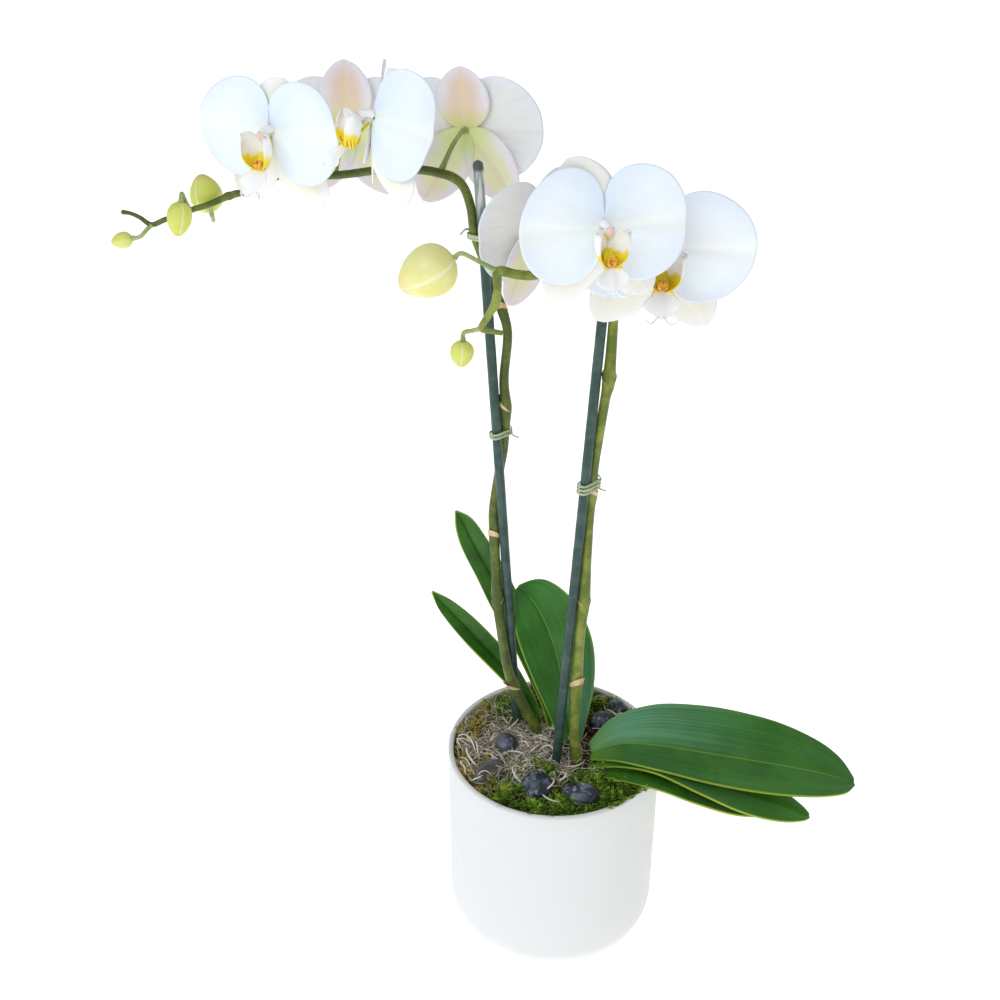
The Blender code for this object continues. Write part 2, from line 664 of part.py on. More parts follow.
LEAVES = [
    ("leaf_1", [(-0.0005, 0.0235, 0.0014, 0.30), (-0.0030, 0.035, 0.0135, 0.45),
                (-0.0100, 0.048, 0.032, 0.72), (-0.0228, 0.060, 0.0610, 0.92),
                (-0.0370, 0.0665, 0.089, 1.0), (-0.0468, 0.070, 0.1110, 0.98),
                (-0.0585, 0.0710, 0.1355, 0.85), (-0.0648, 0.0715, 0.1510, 0.58),
                (-0.0695, 0.0720, 0.1595, 0.05)],
     (0.9, 0.3, 0.2), (0.8, 0.2, 0.4), 0.0128, (35, 18)),
    ("leaf_2", [(-0.0085, 0.0245, 0.0014, 0.35), (-0.0155, 0.0385, 0.0145, 0.55),
                (-0.0265, 0.0490, 0.0262, 0.75), (-0.0392, 0.0540, 0.0415, 0.95),
                (-0.0548, 0.0570, 0.0598, 1.0), (-0.0677, 0.0590, 0.0752, 0.90),
                (-0.0794, 0.0600, 0.0893, 0.60), (-0.0870, 0.0610, 0.0990, 0.06)],
     (0.5, 0.5, 0.5), (0.45, 0.35, 0.8), 0.0105, (38, 20)),
    ("leaf_3", [(0.0125, 0.0085, 0.0014, 0.24), (0.0100, 0.0145, 0.020, 0.50),
                (0.0065, 0.0250, 0.044, 0.83), (0.0010, 0.0350, 0.0670, 1.0),
                (-0.0070, 0.0445, 0.0860, 0.95), (-0.0160, 0.0525, 0.0985, 0.68),
                (-0.0260, 0.0600, 0.1035, 0.08)],
     (1.0, 0.15, 0.10), (0.9, 0.1, 0.35), 0.0285, (26, 14)),
    ("leaf_4", [(0.0265, -0.0045, 0.0055, 0.22), (0.0450, -0.0080, 0.0170, 0.58),
                (0.0700, -0.0115, 0.0193, 0.84), (0.1000, -0.0145, 0.0160, 0.97),
                (0.1300, -0.0165, 0.0115, 1.0), (0.1600, -0.0180, 0.0065, 0.94),
                (0.1850, -0.0190, 0.0010, 0.76), (0.2015, -0.0200, -0.0035, 0.48),
                (0.2105, -0.0205, -0.0065, 0.10)],
     (0.0, 1.0, 0.24), (0.0, 1.0, 0.12), 0.0375, (15, 4)),
    ("leaf_5", [(0.0245, -0.0130, 0.0028, 0.26), (0.0480, -0.0185, 0.0136, 0.60),
                (0.0720, -0.0240, 0.0158, 0.85), (0.1000, -0.0335, 0.0095, 1.0),
                (0.1280, -0.0405, 0.0005, 1.0), (0.1530, -0.0435, -0.0070, 0.80),
                (0.1690, -0.0450, -0.0125, 0.40), (0.1750, -0.0455, -0.0145, 0.10)],
     (0.25, 1.0, -0.06), (0.1, 1.0, -0.03), 0.0235, (4, 2)),
    ("leaf_6", [(0.0230, -0.0190, 0.0016, 0.16), (0.0440, -0.0275, 0.0102, 0.55),
                (0.0700, -0.0350, 0.0128, 0.85), (0.0950, -0.0400, 0.0060, 0.95),
                (0.1170, -0.0430, -0.0020, 0.80), (0.1350, -0.0450, -0.0090, 0.40),
                (0.1410, -0.0455, -0.0115, 0.10)],
     (0.2, 1.0, 0.0), (0.1, 1.0, 0.0), 0.0215, (3, 2)),
]

# How leaves keep clear when a size changes: each of these is 0 for the real plant.
RIM_GROWTH = POT_RADIUS - 0.075
STAKE_GROWTH = STAKE_RADIUS - 0.0032
WIDTH_GROWTH = LEAF_WIDTH_SCALE - 1


def over_rim(midrib, lower=0.0):
    """Carries a leaf that hangs over the rim out with it, and lower if asked."""
    return [(x + RIM_GROWTH * min(max((x - 0.03) / 0.04, 0.0), 1.0), y - 1.8 * lower,
             height - lower, share) for x, y, height, share in midrib]


def off_stake(midrib, half_width):
    """Moves a leaf away from the stake beside it by what either has grown."""
    grown = NARROW_SIDE * half_width * WIDTH_GROWTH + 1.6 * STAKE_GROWTH
    return [(x + grown * share, y, height, share) for x, y, height, share in midrib]


for number, (label, midrib, side_low, side_high, half_width, fold) in enumerate(LEAVES):
    if label == "leaf_3":
        midrib = off_stake(midrib, half_width)
    elif label == "leaf_6":
        midrib = over_rim(midrib, 0.0025 * WIDTH_GROWTH + 0.035 * RIM_GROWTH)
    elif label in ("leaf_4", "leaf_5"):
        midrib = over_rim(midrib)
    LEAVES[number] = (label, midrib, side_low, side_high, half_width, fold)
for label, midrib, side_low, side_high, half_width, fold in LEAVES:
    leaf(label, midrib, side_low, side_high, half_width, fold)


# ----------------------------------------------------- moss, tangle and pebbles

PEBBLES = [
    ("pebble_1", (-0.0335, 0.0020, 0.0085), (0.0170, 0.0160, 0.0130), 20),
    ("pebble_2", (-0.0464, -0.0270, 0.0080), (0.0290, 0.0145, 0.0120), 52),
    ("pebble_3", (-0.0127, -0.0425, 0.0095), (0.0215, 0.0230, 0.0150), 10),
    ("pebble_4", (0.0172, -0.0500, 0.0088), (0.0270, 0.0180, 0.0135), -12),
    ("pebble_5", (0.0367, 0.0281, 0.0085), (0.0190, 0.0150, 0.0120), 35),
    ("pebble_6", (0.0478, 0.0430, 0.0090), (0.0150, 0.0120, 0.0110), -20),
]


def stone(label, spot, size, turn, extra=0.0):
    where = (spot[0] * SPREAD, spot[1] * SPREAD, spot[2] + SOIL_TOP)
    return pebble(label, where, size, turn, extra=extra)


TANGLE_CENTRE = (-0.030 * SPREAD, 0.006 * SPREAD)
CROWN_CENTRE = (0.012, 0.003)
CROWN_RADIUS = 0.0350


def tangle_reach(turn):
    return SPREAD * (0.0275 + 0.0030 * sin(3 * turn + 0.6) + 0.0018 * sin(5 * turn))


def moss_top(x, y):
    swell = noise.noise(Vector((x * 55, y * 55, 0.7)))
    return GROUND + MOSS_THICKNESS + MOSS_SWELL * swell


def tangle_top(x, y):
    swell = noise.noise(Vector((x * 80, y * 80, 3.1)))
    return GROUND + TANGLE_THICKNESS + 0.0012 * swell


def column_cutter(centre, reach):
    return layer("cutter", centre, reach, SOIL_TOP - 0.005, lambda x, y: POT_HEIGHT + 0.02,
                 "moss", 40, 1)


def wrapped(parts):
    """One convex solid round what these solids hold inside the pot."""
    shape = bmesh.new()
    for part in parts:
        for vertex in part.data.vertices:
            if vertex.co.xy.length < INNER_RADIUS:
                shape.verts.new(vertex.co)
        bpy.data.objects.remove(part, do_unlink=True)
    bmesh.ops.convex_hull(shape, input=shape.verts)
    loose = [vertex for vertex in shape.verts if not vertex.link_faces]
    bmesh.ops.delete(shape, geom=loose, context="VERTS")
    mesh = bpy.data.meshes.new("cutter")
    shape.to_mesh(mesh)
    shape.free()
    made = bpy.data.objects.new("cutter", mesh)
    bpy.context.scene.collection.objects.link(made)
    return made


def plant_cutters():
    """Copies of what stands in the filling, grown by a little over the clearance."""
    cutters = [stake(each, "cutter", CLEARANCE) for each in STAKES]
    cutters.append(stem("cutter", [[*c[:2], c[2] - 0.002, c[3]] for c in left_controls[:3]],
                        CLEARANCE))
    cutters += [stone("cutter", *row[1:], extra=1.5 * CLEARANCE) for row in PEBBLES]
    leaves = [leaf("cutter", *row[1:], grow=2.5 * CLEARANCE) for row in LEAVES]
    cutters += leaves[:4] + [wrapped(leaves[4:])]
    return cutters


moss = layer("moss", (0, 0), lambda turn: INNER_RADIUS - CLEARANCE, GROUND, moss_top,
             "moss", 44, 6)
combine(moss, [
    column_cutter(TANGLE_CENTRE, lambda turn: tangle_reach(turn) + CLEARANCE),
    column_cutter(CROWN_CENTRE, lambda turn: CROWN_RADIUS),
] + plant_cutters(), "DIFFERENCE")

tangle = layer("root_tangle", TANGLE_CENTRE, tangle_reach, GROUND, tangle_top,
               "fibre", 32, 4)
combine(tangle, [column_cutter(CROWN_CENTRE, lambda turn: CROWN_RADIUS)]
        + plant_cutters(), "DIFFERENCE")

for row in PEBBLES:
    stone(*row)
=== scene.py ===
# %% [markdown]
# # A potted moth orchid
# This lesson dresses a packed orchid model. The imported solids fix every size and
# place. Each visible part is then made again as a fine surface with its own finish:
# pot, moss, roots, stones, leaves, stakes, stems, ties, buds and flowers.
# Lengths are metres, +Z is up, and the plant faces -Y.

# %% Load the frame
import random
from math import atan2, cos, exp, pi, radians, sin, sqrt

import bpy
from mathutils import Matrix, Vector, noise


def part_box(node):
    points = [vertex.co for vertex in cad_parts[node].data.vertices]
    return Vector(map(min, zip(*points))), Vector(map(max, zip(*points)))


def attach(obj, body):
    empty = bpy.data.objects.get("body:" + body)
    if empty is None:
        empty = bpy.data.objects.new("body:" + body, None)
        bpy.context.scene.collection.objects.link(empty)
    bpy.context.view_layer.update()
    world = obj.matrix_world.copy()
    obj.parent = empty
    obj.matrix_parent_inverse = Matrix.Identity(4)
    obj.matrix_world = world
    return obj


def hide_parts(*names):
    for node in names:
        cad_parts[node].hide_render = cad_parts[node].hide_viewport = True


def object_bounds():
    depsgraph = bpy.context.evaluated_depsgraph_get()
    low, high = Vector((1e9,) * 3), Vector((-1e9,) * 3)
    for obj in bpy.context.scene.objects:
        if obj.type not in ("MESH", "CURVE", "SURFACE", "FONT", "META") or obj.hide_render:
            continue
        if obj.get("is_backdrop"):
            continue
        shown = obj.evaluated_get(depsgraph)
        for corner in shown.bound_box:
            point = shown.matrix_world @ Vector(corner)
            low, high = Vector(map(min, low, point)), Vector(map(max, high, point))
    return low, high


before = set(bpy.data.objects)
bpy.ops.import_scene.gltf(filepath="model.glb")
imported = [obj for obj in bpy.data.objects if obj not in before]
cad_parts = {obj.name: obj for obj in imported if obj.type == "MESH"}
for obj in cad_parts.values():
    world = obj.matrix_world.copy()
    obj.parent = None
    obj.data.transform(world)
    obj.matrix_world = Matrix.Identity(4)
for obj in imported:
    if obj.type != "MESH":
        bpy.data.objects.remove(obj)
cad_box = [list(corner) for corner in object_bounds()]
print("frame nodes:", len(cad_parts))

# %% [markdown]
# ## Sizes shared with the solid model
# The growing medium's top is the level that the plant's heights are counted from, so
# it is measured from the frame. The other values are the solid model's own.

# %% Shared sizes
pot_low, pot_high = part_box("pot")
POT_RADIUS = (pot_high.x - pot_low.x) / 2
POT_HEIGHT = pot_high.z
POT_WALL = 0.004
POT_CORNER = 0.025
SOIL_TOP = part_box("growing_medium")[1].z
INNER_RADIUS = POT_RADIUS - POT_WALL
CLEARANCE = 0.00035
MOSS_THICKNESS = 0.0065
STAKE_RADIUS = 0.0032
STEM_RADIUS = 0.0035
PEDICEL_RADIUS = 0.0017
TIE_RADIUS = 0.0007
TEPAL_THICKNESS = 0.0009
FINE_TEPAL = TEPAL_THICKNESS * 0.7
LEAF_THICKNESS = 0.0017
FINE_LEAF = LEAF_THICKNESS * 0.85
NARROW_SIDE = 0.84
CROWN_CENTRE = (0.012, 0.003)
CROWN_RADIUS = 0.0350
TANGLE_CENTRE = (-0.030, 0.006)
print("medium top", round(SOIL_TOP, 4), "pot radius", round(POT_RADIUS, 4))

# %% [markdown]
# ## Camera, floor and light
# A normal lens looks down on the plant from a little above its flowers. The floor is a
# wide pale disc. One broad cool lamp stands for a window at the upper left, a bluer
# one lights the left side, and a bright plain surround keeps every shadow soft.

# %% Camera
camera_data = bpy.data.cameras.new("camera")
camera_data.lens = 46.8
camera_data.sensor_width = 36.0
camera = bpy.data.objects.new("camera", camera_data)
camera.location = (-0.0348, -0.716, 0.7617)
camera.rotation_euler = (radians(60.27), 0, radians(0.27))
bpy.context.scene.collection.objects.link(camera)
bpy.context.scene.camera = camera
bpy.context.scene.view_settings.view_transform = "Standard"
print("camera at", tuple(camera.location))


# %% Lamps and surround
def lamp(name, spot, aim, power, size, colour):
    """A square soft light at spot, turned to face aim."""
    data = bpy.data.lights.new(name, "AREA")
    data.energy, data.size, data.color = power, size, colour
    made = bpy.data.objects.new(name, data)
    made.location = spot
    made.rotation_euler = (Vector(aim) - Vector(spot)).to_track_quat("-Z", "Y").to_euler()
    bpy.context.scene.collection.objects.link(made)
    print(f"{name}: {power} W")


lamp("window_light", (-0.8, -1.2, 1.9), (0, 0, 0.3), 18, 1.3, (0.83, 0.915, 1.0))
lamp("blue_side", (-1.8, 0.3, 0.6), (0, 0, 0.2), 1.6, 1.2, (0.50, 0.75, 1.0))
world = bpy.data.worlds.new("bright_room")
bpy.context.scene.world = world
world.use_nodes = True
surround = world.node_tree.nodes["Background"]
surround.inputs["Color"].default_value = (0.99, 0.99, 1.0, 1)
surround.inputs["Strength"].default_value = 0.44

# %% [markdown]
# ## Building surfaces
# Most plant parts are thin sheets or round rods, so two drafting helpers make nearly
# all of them: one lays rows of points into a grid, the other sweeps a ring along a
# path. Every grid also records where on the sheet each point lies, as a UV layer
# called "lay", so that veins can follow the leaf or petal however it bends.

# %% Drafting helpers
class Draft:
    """Collects the points and faces of one piece before it is made."""

    def __init__(self):
        self.points, self.faces, self.lay, self.finish = [], [], [], []

    def face(self, corners, lays, finish):
        self.faces.append(tuple(corners))
        self.lay.extend(lays)
        self.finish.append(finish)

    def grid(self, rows, lay=None, finish=0, ring=False, keep=None):
        """Rows of points joined into a sheet, or into a tube when ring is set."""
        start, wide, tall = len(self.points), len(rows[0]), len(rows)
        self.points.extend(tuple(point) for row in rows for point in row)

        def place(i, k):
            if lay:
                return lay[i][k]
            return k / (wide if ring else wide - 1), i / (tall - 1)

        for i in range(tall - 1):
            for k in range(wide if ring else wide - 1):
                if keep and not keep(rows[i][k]):
                    continue
                a, b = start + i * wide + k, start + i * wide + (k + 1) % wide
                lays = (place(i, k), place(i, k + 1), place(i + 1, k + 1), place(i + 1, k))
                self.face((a, b, b + wide, a + wide), lays, finish)
        return start

    def sheet(self, tall, wide, shape, finish=0, reverse=False):
        """A sheet of cells: shape(t, across) gives each point and its lay."""
        cells = [[shape(i / tall, 2 * k / wide - 1) for k in range(wide + 1)]
                 for i in range(tall + 1)]
        if reverse:
            cells = [row[::-1] for row in cells]
        self.grid([[spot for spot, _ in row] for row in cells],
                  [[lay for _, lay in row] for row in cells], finish)

    def fan(self, ring, tip, along, finish=0):
        """Closes a ring of point numbers to one more point."""
        self.points.append(tuple(tip))
        last, count = len(self.points) - 1, len(ring)
        for k in range(count):
            lays = [((k + step) / count, along) for step in (0, 1, 0.5)]
            self.face((ring[k], ring[(k + 1) % count], last), lays, finish)

    def closed_tube(self, rings, low_tip, high_tip, finish):
        """Rings of points joined to a tube, closed to a point at both ends."""
        start = self.grid(rings, None, finish, ring=True)
        sides = len(rings[0])
        end = start + (len(rings) - 1) * sides
        self.fan(range(start, start + sides)[::-1], low_tip, 0.0, finish)
        self.fan(range(end, end + sides), high_tip, 1.0, finish)

    def rod(self, path, radii, sides=8, finish=0, flat=1.0, hint=None):
        """A closed round rod along a path; flat under 1 makes it a strip."""
        path = [Vector(p) for p in path]
        count, normal, rows = len(path), None, []
        for i, spot in enumerate(path):
            along = (path[min(i + 1, count - 1)] - path[max(i - 1, 0)]).normalized()
            if normal is None:
                normal = Vector(hint) if hint else along.orthogonal()
            normal = (normal - along * normal.dot(along)).normalized()
            other = along.cross(normal)
            rows.append([
                spot + radii[i] * (cos(2 * pi * k / sides) * normal
                                   + flat * sin(2 * pi * k / sides) * other)
                for k in range(sides)
            ])
        near = path[0] - (path[1] - path[0]).normalized() * radii[0] * 0.5
        far = path[-1] + (path[-1] - path[-2]).normalized() * radii[-1] * 0.5
        self.closed_tube(rows, near, far, finish)

    def ball(self, centre, shape, finish=0, around=20, up=12, turn=None):
        """A closed ball whose surface point for a unit direction is given by shape."""
        rows, turn = [], turn or Matrix.Identity(3)
        for i in range(1, up):
            lift = -pi / 2 + pi * i / up
            rows.append([
                Vector(centre) + turn @ shape(Vector((
                    cos(lift) * cos(2 * pi * k / around),
                    cos(lift) * sin(2 * pi * k / around), sin(lift))))
                for k in range(around)
            ])
        low, high = (Vector(centre) + turn @ shape(Vector((0, 0, z))) for z in (-1, 1))
        self.closed_tube(rows, low, high, finish)

    def make(self, name, finishes, slot, nodes=(), thick=0.0, edge=0):
        """Turns the draft into a piece that stands for the given solids."""
        mesh = bpy.data.meshes.new(name)
        mesh.from_pydata(self.points, [], self.faces)
        layer = mesh.uv_layers.new(name="lay")
        layer.data.foreach_set("uv", [value for pair in self.lay for value in pair])
        for finish in finishes:
            mesh.materials.append(finish)
        mesh.polygons.foreach_set("material_index", self.finish)
        mesh.shade_smooth()
        mesh.update()
        piece = bpy.data.objects.new(name, mesh)
        bpy.context.scene.collection.objects.link(piece)
        if thick:
            wall = piece.modifiers.new("thickness", "SOLIDIFY")
            wall.thickness, wall.offset = thick, 0.0
            wall.material_offset = 1 if len(finishes) > 1 else 0
            wall.material_offset_rim = edge
        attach(piece, "root")
        if nodes:
            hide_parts(*nodes)
        print(f"{name}: {len(self.faces)} faces")
        return piece


# %% Smooth paths and small rules
def smooth_path(points, steps):
    """A Catmull-Rom curve through points of any number of coordinates."""
    out, last = [], len(points) - 1
    for i in range(last):
        a, b = points[max(i - 1, 0)], points[i]
        c, d = points[i + 1], points[min(i + 2, last)]
        for k in range(steps):
            t = k / steps
            out.append([
                0.5 * (2 * q + (r - p) * t + (2 * p - 5 * q + 4 * r - s) * t * t
                       + (3 * q - p - 3 * r + s) * t ** 3)
                for p, q, r, s in zip(a, b, c, d)
            ])
    out.append(list(points[last]))
    return out


def circle(radius, count, height):
    """Points round the axis, at the height that a rule gives for x and y."""
    turns = [2 * pi * k / count for k in range(count)]
    spots = [(radius * cos(turn), radius * sin(turn)) for turn in turns]
    return [(x, y, height(x, y)) for x, y in spots]


def over_medium(spot):
    """A place whose height is counted from the top of the growing medium."""
    return Vector(spot) + Vector((0, 0, SOIL_TOP))


def heading_of(turn):
    """A level unit vector, turn degrees round from +X."""
    return Vector((cos(radians(turn)), sin(radians(turn)), 0))


def mix(a, b, t):
    return a + (b - a) * t


def ease(low, high, value):
    """0 below low, 1 above high, and a smooth ramp between."""
    t = min(max((value - low) / (high - low), 0.0), 1.0)
    return t * t * (3 - 2 * t)


# %% [markdown]
# ## Shader building blocks
# A finish is a small network of nodes. The helper class places a node, sets its
# inputs and joins sockets, so that each finish reads as a short recipe. What several
# finishes share is a node group with named sockets, made once: mottled colour, fine
# grain, and the lengthwise veins of leaves and petals.

# %% Recipe helper
class Recipe:
    """Adds nodes to one node tree."""

    def __init__(self, tree):
        self.tree = tree

    def node(self, kind, settings=None, **inputs):
        made = self.tree.nodes.new(kind)
        for key, value in (settings or {}).items():
            setattr(made, key, value)
        for key, value in inputs.items():
            self.feed(made, key.replace("_", " "), value)
        return made

    def feed(self, node, key, value):
        socket = node.inputs[int(key) if key.isdigit() else key]
        if isinstance(value, bpy.types.NodeSocket):
            self.tree.links.new(value, socket)
        elif isinstance(value, tuple) and len(value) == 3 and socket.type == "RGBA":
            socket.default_value = (*value, 1)
        else:
            socket.default_value = value

    def maths(self, operation, *values):
        made = self.node("ShaderNodeMath", {"operation": operation})
        for index, value in enumerate(values):
            self.feed(made, str(index), value)
        return made.outputs[0]

    def blend(self, share, low, high, how="MIX"):
        made = self.node("ShaderNodeMix", {"data_type": "RGBA", "blend_type": how})
        for index, value in (("0", share), ("6", low), ("7", high)):
            self.feed(made, index, value)
        return made.outputs[2]

    def between(self, value, low, high, out_low=0.0, out_high=1.0):
        made = self.node("ShaderNodeMapRange", {"interpolation_type": "SMOOTHSTEP"})
        for key, given in (("Value", value), ("From Min", low), ("From Max", high),
                           ("To Min", out_low), ("To Max", out_high)):
            self.feed(made, key, given)
        return made.outputs["Result"]

    def noise(self, where, scale, detail=3.0, rough=0.55):
        return self.node("ShaderNodeTexNoise", Vector=where, Scale=scale, Detail=detail,
                         Roughness=rough).outputs["Fac"]

    def stretched(self, where, scale):
        return self.node("ShaderNodeMapping", Vector=where, Scale=scale).outputs["Vector"]

    def split(self, where):
        return tuple(self.node("ShaderNodeSeparateXYZ", Vector=where).outputs)

    def place(self):
        return self.node("ShaderNodeTexCoord").outputs["Object"]

    def lay(self):
        return self.node("ShaderNodeUVMap", {"uv_map": "lay"}).outputs["UV"]


def new_group(name, inputs, outputs):
    """An empty node group with named sockets: {name: (type, start value)}.

    It returns the tree, a recipe for it, its given values and the node that puts out.
    """
    tree = bpy.data.node_groups.new(name, "ShaderNodeTree")
    for label, (kind, value) in inputs.items():
        socket = tree.interface.new_socket(label, in_out="INPUT",
                                           socket_type="NodeSocket" + kind)
        if value is not None:
            socket.default_value = value
    for label, kind in outputs.items():
        tree.interface.new_socket(label, in_out="OUTPUT", socket_type="NodeSocket" + kind)
    given = tree.nodes.new("NodeGroupInput").outputs
    return tree, Recipe(tree), given, tree.nodes.new("NodeGroupOutput")


# %% Group: mottled colour
mottle_tree, r, given, out = new_group(
    "Mottled colour",
    {"Place": ("Vector", None), "Base": ("Color", (0.5, 0.5, 0.5, 1)),
     "Spots": ("Color", (0.4, 0.4, 0.4, 1)), "Scale": ("Float", 60.0),
     "Low": ("Float", 0.45), "High": ("Float", 0.62), "Strength": ("Float", 1.0)},
    {"Color": "Color", "Mask": "Float"})
cloud = r.noise(given["Place"], given["Scale"], 4.0, 0.6)
mask = r.between(cloud, given["Low"], given["High"])
mask = r.maths("MULTIPLY", mask, given["Strength"])
r.feed(out, "Color", r.blend(mask, given["Base"], given["Spots"]))
r.feed(out, "Mask", mask)

# %% Group: fine grain for bump and roughness
grain_tree, r, given, out = new_group(
    "Fine grain",
    {"Place": ("Vector", None), "Scale": ("Float", 900.0), "Rough low": ("Float", 0.4),
     "Rough high": ("Float", 0.6), "Coarse scale": ("Float", 90.0)},
    {"Height": "Float", "Roughness": "Float"})
fine = r.noise(given["Place"], given["Scale"], 3.0, 0.6)
broad = r.noise(given["Place"], given["Coarse scale"], 3.0, 0.5)
r.feed(out, "Height", r.maths("MULTIPLY_ADD", broad, 0.6, fine))
rough = r.between(broad, 0.35, 0.65, given["Rough low"], given["Rough high"])
r.feed(out, "Roughness", rough)

# %% Group: veins that run the length of a sheet
vein_tree, r, given, out = new_group(
    "Lengthwise veins",
    {"Lay": ("Vector", None), "Across": ("Float", 40.0), "Along": ("Float", 2.0),
     "Wander": ("Float", 0.25)},
    {"Lines": "Float", "Soft": "Float"})
wander = r.maths("SUBTRACT", r.noise(given["Lay"], 3.0, 2.0, 0.5), 0.5)
across, along, _ = r.split(given["Lay"])
bent = r.maths("MULTIPLY_ADD", wander, r.maths("MULTIPLY", given["Wander"], 0.2), across)
threads = r.node("ShaderNodeCombineXYZ", X=r.maths("MULTIPLY", bent, given["Across"]),
                 Y=r.maths("MULTIPLY", along, given["Along"]))
threads = r.noise(threads.outputs[0], 1.0, 2.0, 0.45)
r.feed(out, "Lines", r.between(threads, 0.50, 0.66))
r.feed(out, "Soft", threads)
print("groups:", [tree.name for tree in bpy.data.node_groups])


# %% Starting a finish
def new_finish(name, **shader_inputs):
    """A material with its Principled shader, and a recipe to add nodes with."""
    finish = bpy.data.materials.new(name)
    finish.use_nodes = True
    shader = finish.node_tree.nodes["Principled BSDF"]
    recipe = Recipe(finish.node_tree)
    for key, value in shader_inputs.items():
        recipe.feed(shader, key.replace("_", " "), value)
    print("finish:", name)
    return finish, recipe, shader


def use_group(recipe, tree, **inputs):
    made = recipe.node("ShaderNodeGroup", {"node_tree": tree})
    for key, value in inputs.items():
        recipe.feed(made, key.replace("_", " "), value)
    return made


def bump(recipe, shader, height, strength, distance):
    made = recipe.node("ShaderNodeBump", Strength=strength, Distance=distance, Height=height)
    recipe.feed(shader, "Normal", made.outputs["Normal"])


# %% Effects that most finishes share
def mottled(recipe, place, base, spots, scale, low, high, strength=1.0):
    """One colour with soft spots of another."""
    return use_group(recipe, mottle_tree, Place=place, Base=base, Spots=spots, Scale=scale,
                     Low=low, High=high, Strength=strength).outputs["Color"]


def speckle(recipe, place, scale, low, high, strength):
    """Where such spots lie, to lay any colour over another."""
    return use_group(recipe, mottle_tree, Place=place, Scale=scale, Low=low, High=high,
                     Strength=strength).outputs["Mask"]


def grained(recipe, shader, place, scale, coarse, rough, strength, distance,
            lines=None, share=1.0):
    """Fine grain in the gloss and the relief, with lines added to the relief."""
    grain = use_group(recipe, grain_tree, Place=place, Scale=scale, Coarse_scale=coarse,
                      Rough_low=rough[0], Rough_high=rough[1])
    recipe.feed(shader, "Roughness", grain.outputs["Roughness"])
    relief = grain.outputs["Height"]
    if lines:
        relief = recipe.maths("MULTIPLY_ADD", lines, share, relief)
    bump(recipe, shader, relief, strength, distance)


# %% [markdown]
# ## The floor
# A plain pale disc under the pot. It catches a faint shadow and bounces light up, and
# it is stage, not part of the object.

# %% Floor
floor_draft = Draft()
floor_draft.grid([circle(radius, 64, lambda x, y: 0.0)
                  for radius in (0.001, 0.3, 1.0, 3.0, 9.0)], ring=True)
floor_mesh = bpy.data.meshes.new("floor")
floor_mesh.from_pydata(floor_draft.points, [], [face[::-1] for face in floor_draft.faces])
floor = bpy.data.objects.new("floor", floor_mesh)
bpy.context.scene.collection.objects.link(floor)
floor_paint, r, shader = new_finish("floor_paint", Roughness=0.9)
cloud = r.noise(r.place(), 1.5)
r.feed(shader, "Base Color", r.blend(cloud, (0.97, 0.97, 0.97), (0.99, 0.99, 0.99)))
shader.inputs["Emission Color"].default_value = (1, 1, 1, 1)
shader.inputs["Emission Strength"].default_value = 0.75
floor_mesh.materials.append(floor_paint)
floor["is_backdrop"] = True
FLOOR_DROP = 0.0004
floor.location.z = -FLOOR_DROP

# %% [markdown]
# ## The pot
# A slip-cast cylinder with a rounded foot corner and a thin round lip, under a satin
# white glaze. A turned profile is the natural way to make it. The glaze pulls thin on
# the lip, which shows as a warmer line, and faint rings from the mould run round it.

# %% Glaze
glaze, r, shader = new_finish("satin_white_glaze", Specular_IOR_Level=0.45)
place = r.place()
clouds = mottled(r, place, (0.775, 0.772, 0.764), (0.780, 0.777, 0.768), 26.0, 0.42, 0.68,
                 0.7)
specks = mottled(r, place, (1.0, 1.0, 1.0), (0.80, 0.78, 0.74), 520.0, 0.73, 0.78, 0.6)
colour = r.blend(1.0, clouds, specks, "MULTIPLY")
lip_line = r.between(r.split(place)[2], POT_HEIGHT - 0.0022, POT_HEIGHT - 0.0006)
colour = r.blend(r.maths("MULTIPLY", lip_line, 0.5), colour, (0.80, 0.775, 0.73))
r.feed(shader, "Base Color", colour)
rings = r.noise(r.stretched(place, (3.0, 3.0, 130.0)), 1.0, 3.0, 0.5)
grained(r, shader, place, 1400.0, 60.0, (0.40, 0.52), 0.10, 0.0006, rings, 1.2)

# %% Pot profile
FOOT_RECESS = 0.0009
pot_profile = [(0.0, FOOT_RECESS), (0.030, FOOT_RECESS), (0.0335, FOOT_RECESS * 0.6),
               (0.035, 0.0), (0.042, 0.0)]
for k in range(1, 13):
    turn = pi / 2 * k / 12
    pot_profile.append((POT_RADIUS - POT_CORNER * (1 - sin(turn)),
                        POT_CORNER * (1 - cos(turn))))
for height_now in (0.045, 0.070, 0.095, 0.120, 0.140):
    pot_profile.append((POT_RADIUS, height_now))
for k in range(9):
    turn = pi * k / 8
    pot_profile.append((POT_RADIUS - POT_WALL / 2 * (1 - cos(turn)),
                        POT_HEIGHT - POT_WALL / 2 * (1 - sin(turn))))
pot_profile += [(INNER_RADIUS, 0.140), (INNER_RADIUS, 0.100), (INNER_RADIUS, 0.027),
                (INNER_RADIUS - 0.006, 0.0125), (INNER_RADIUS - 0.020, 0.0062),
                (0.0, 0.006)]
draft = Draft()
POT_SIDES, NEAR_AXIS = 128, 1e-5
draft.grid([circle(max(radius, NEAR_AXIS), POT_SIDES, lambda x, y: z)
            for radius, z in pot_profile], ring=True)
draft.make("glazed_pot", [glaze], "ceramic", ["pot"])

# %% [markdown]
# ## Bark bed
# Orchids grow in coarse bark. Here it only shows round the crown and between the
# roots, as dark broken chips. The bed below them is a low lumpy sheet, and each chip
# is a flattened ball roughened with noise.

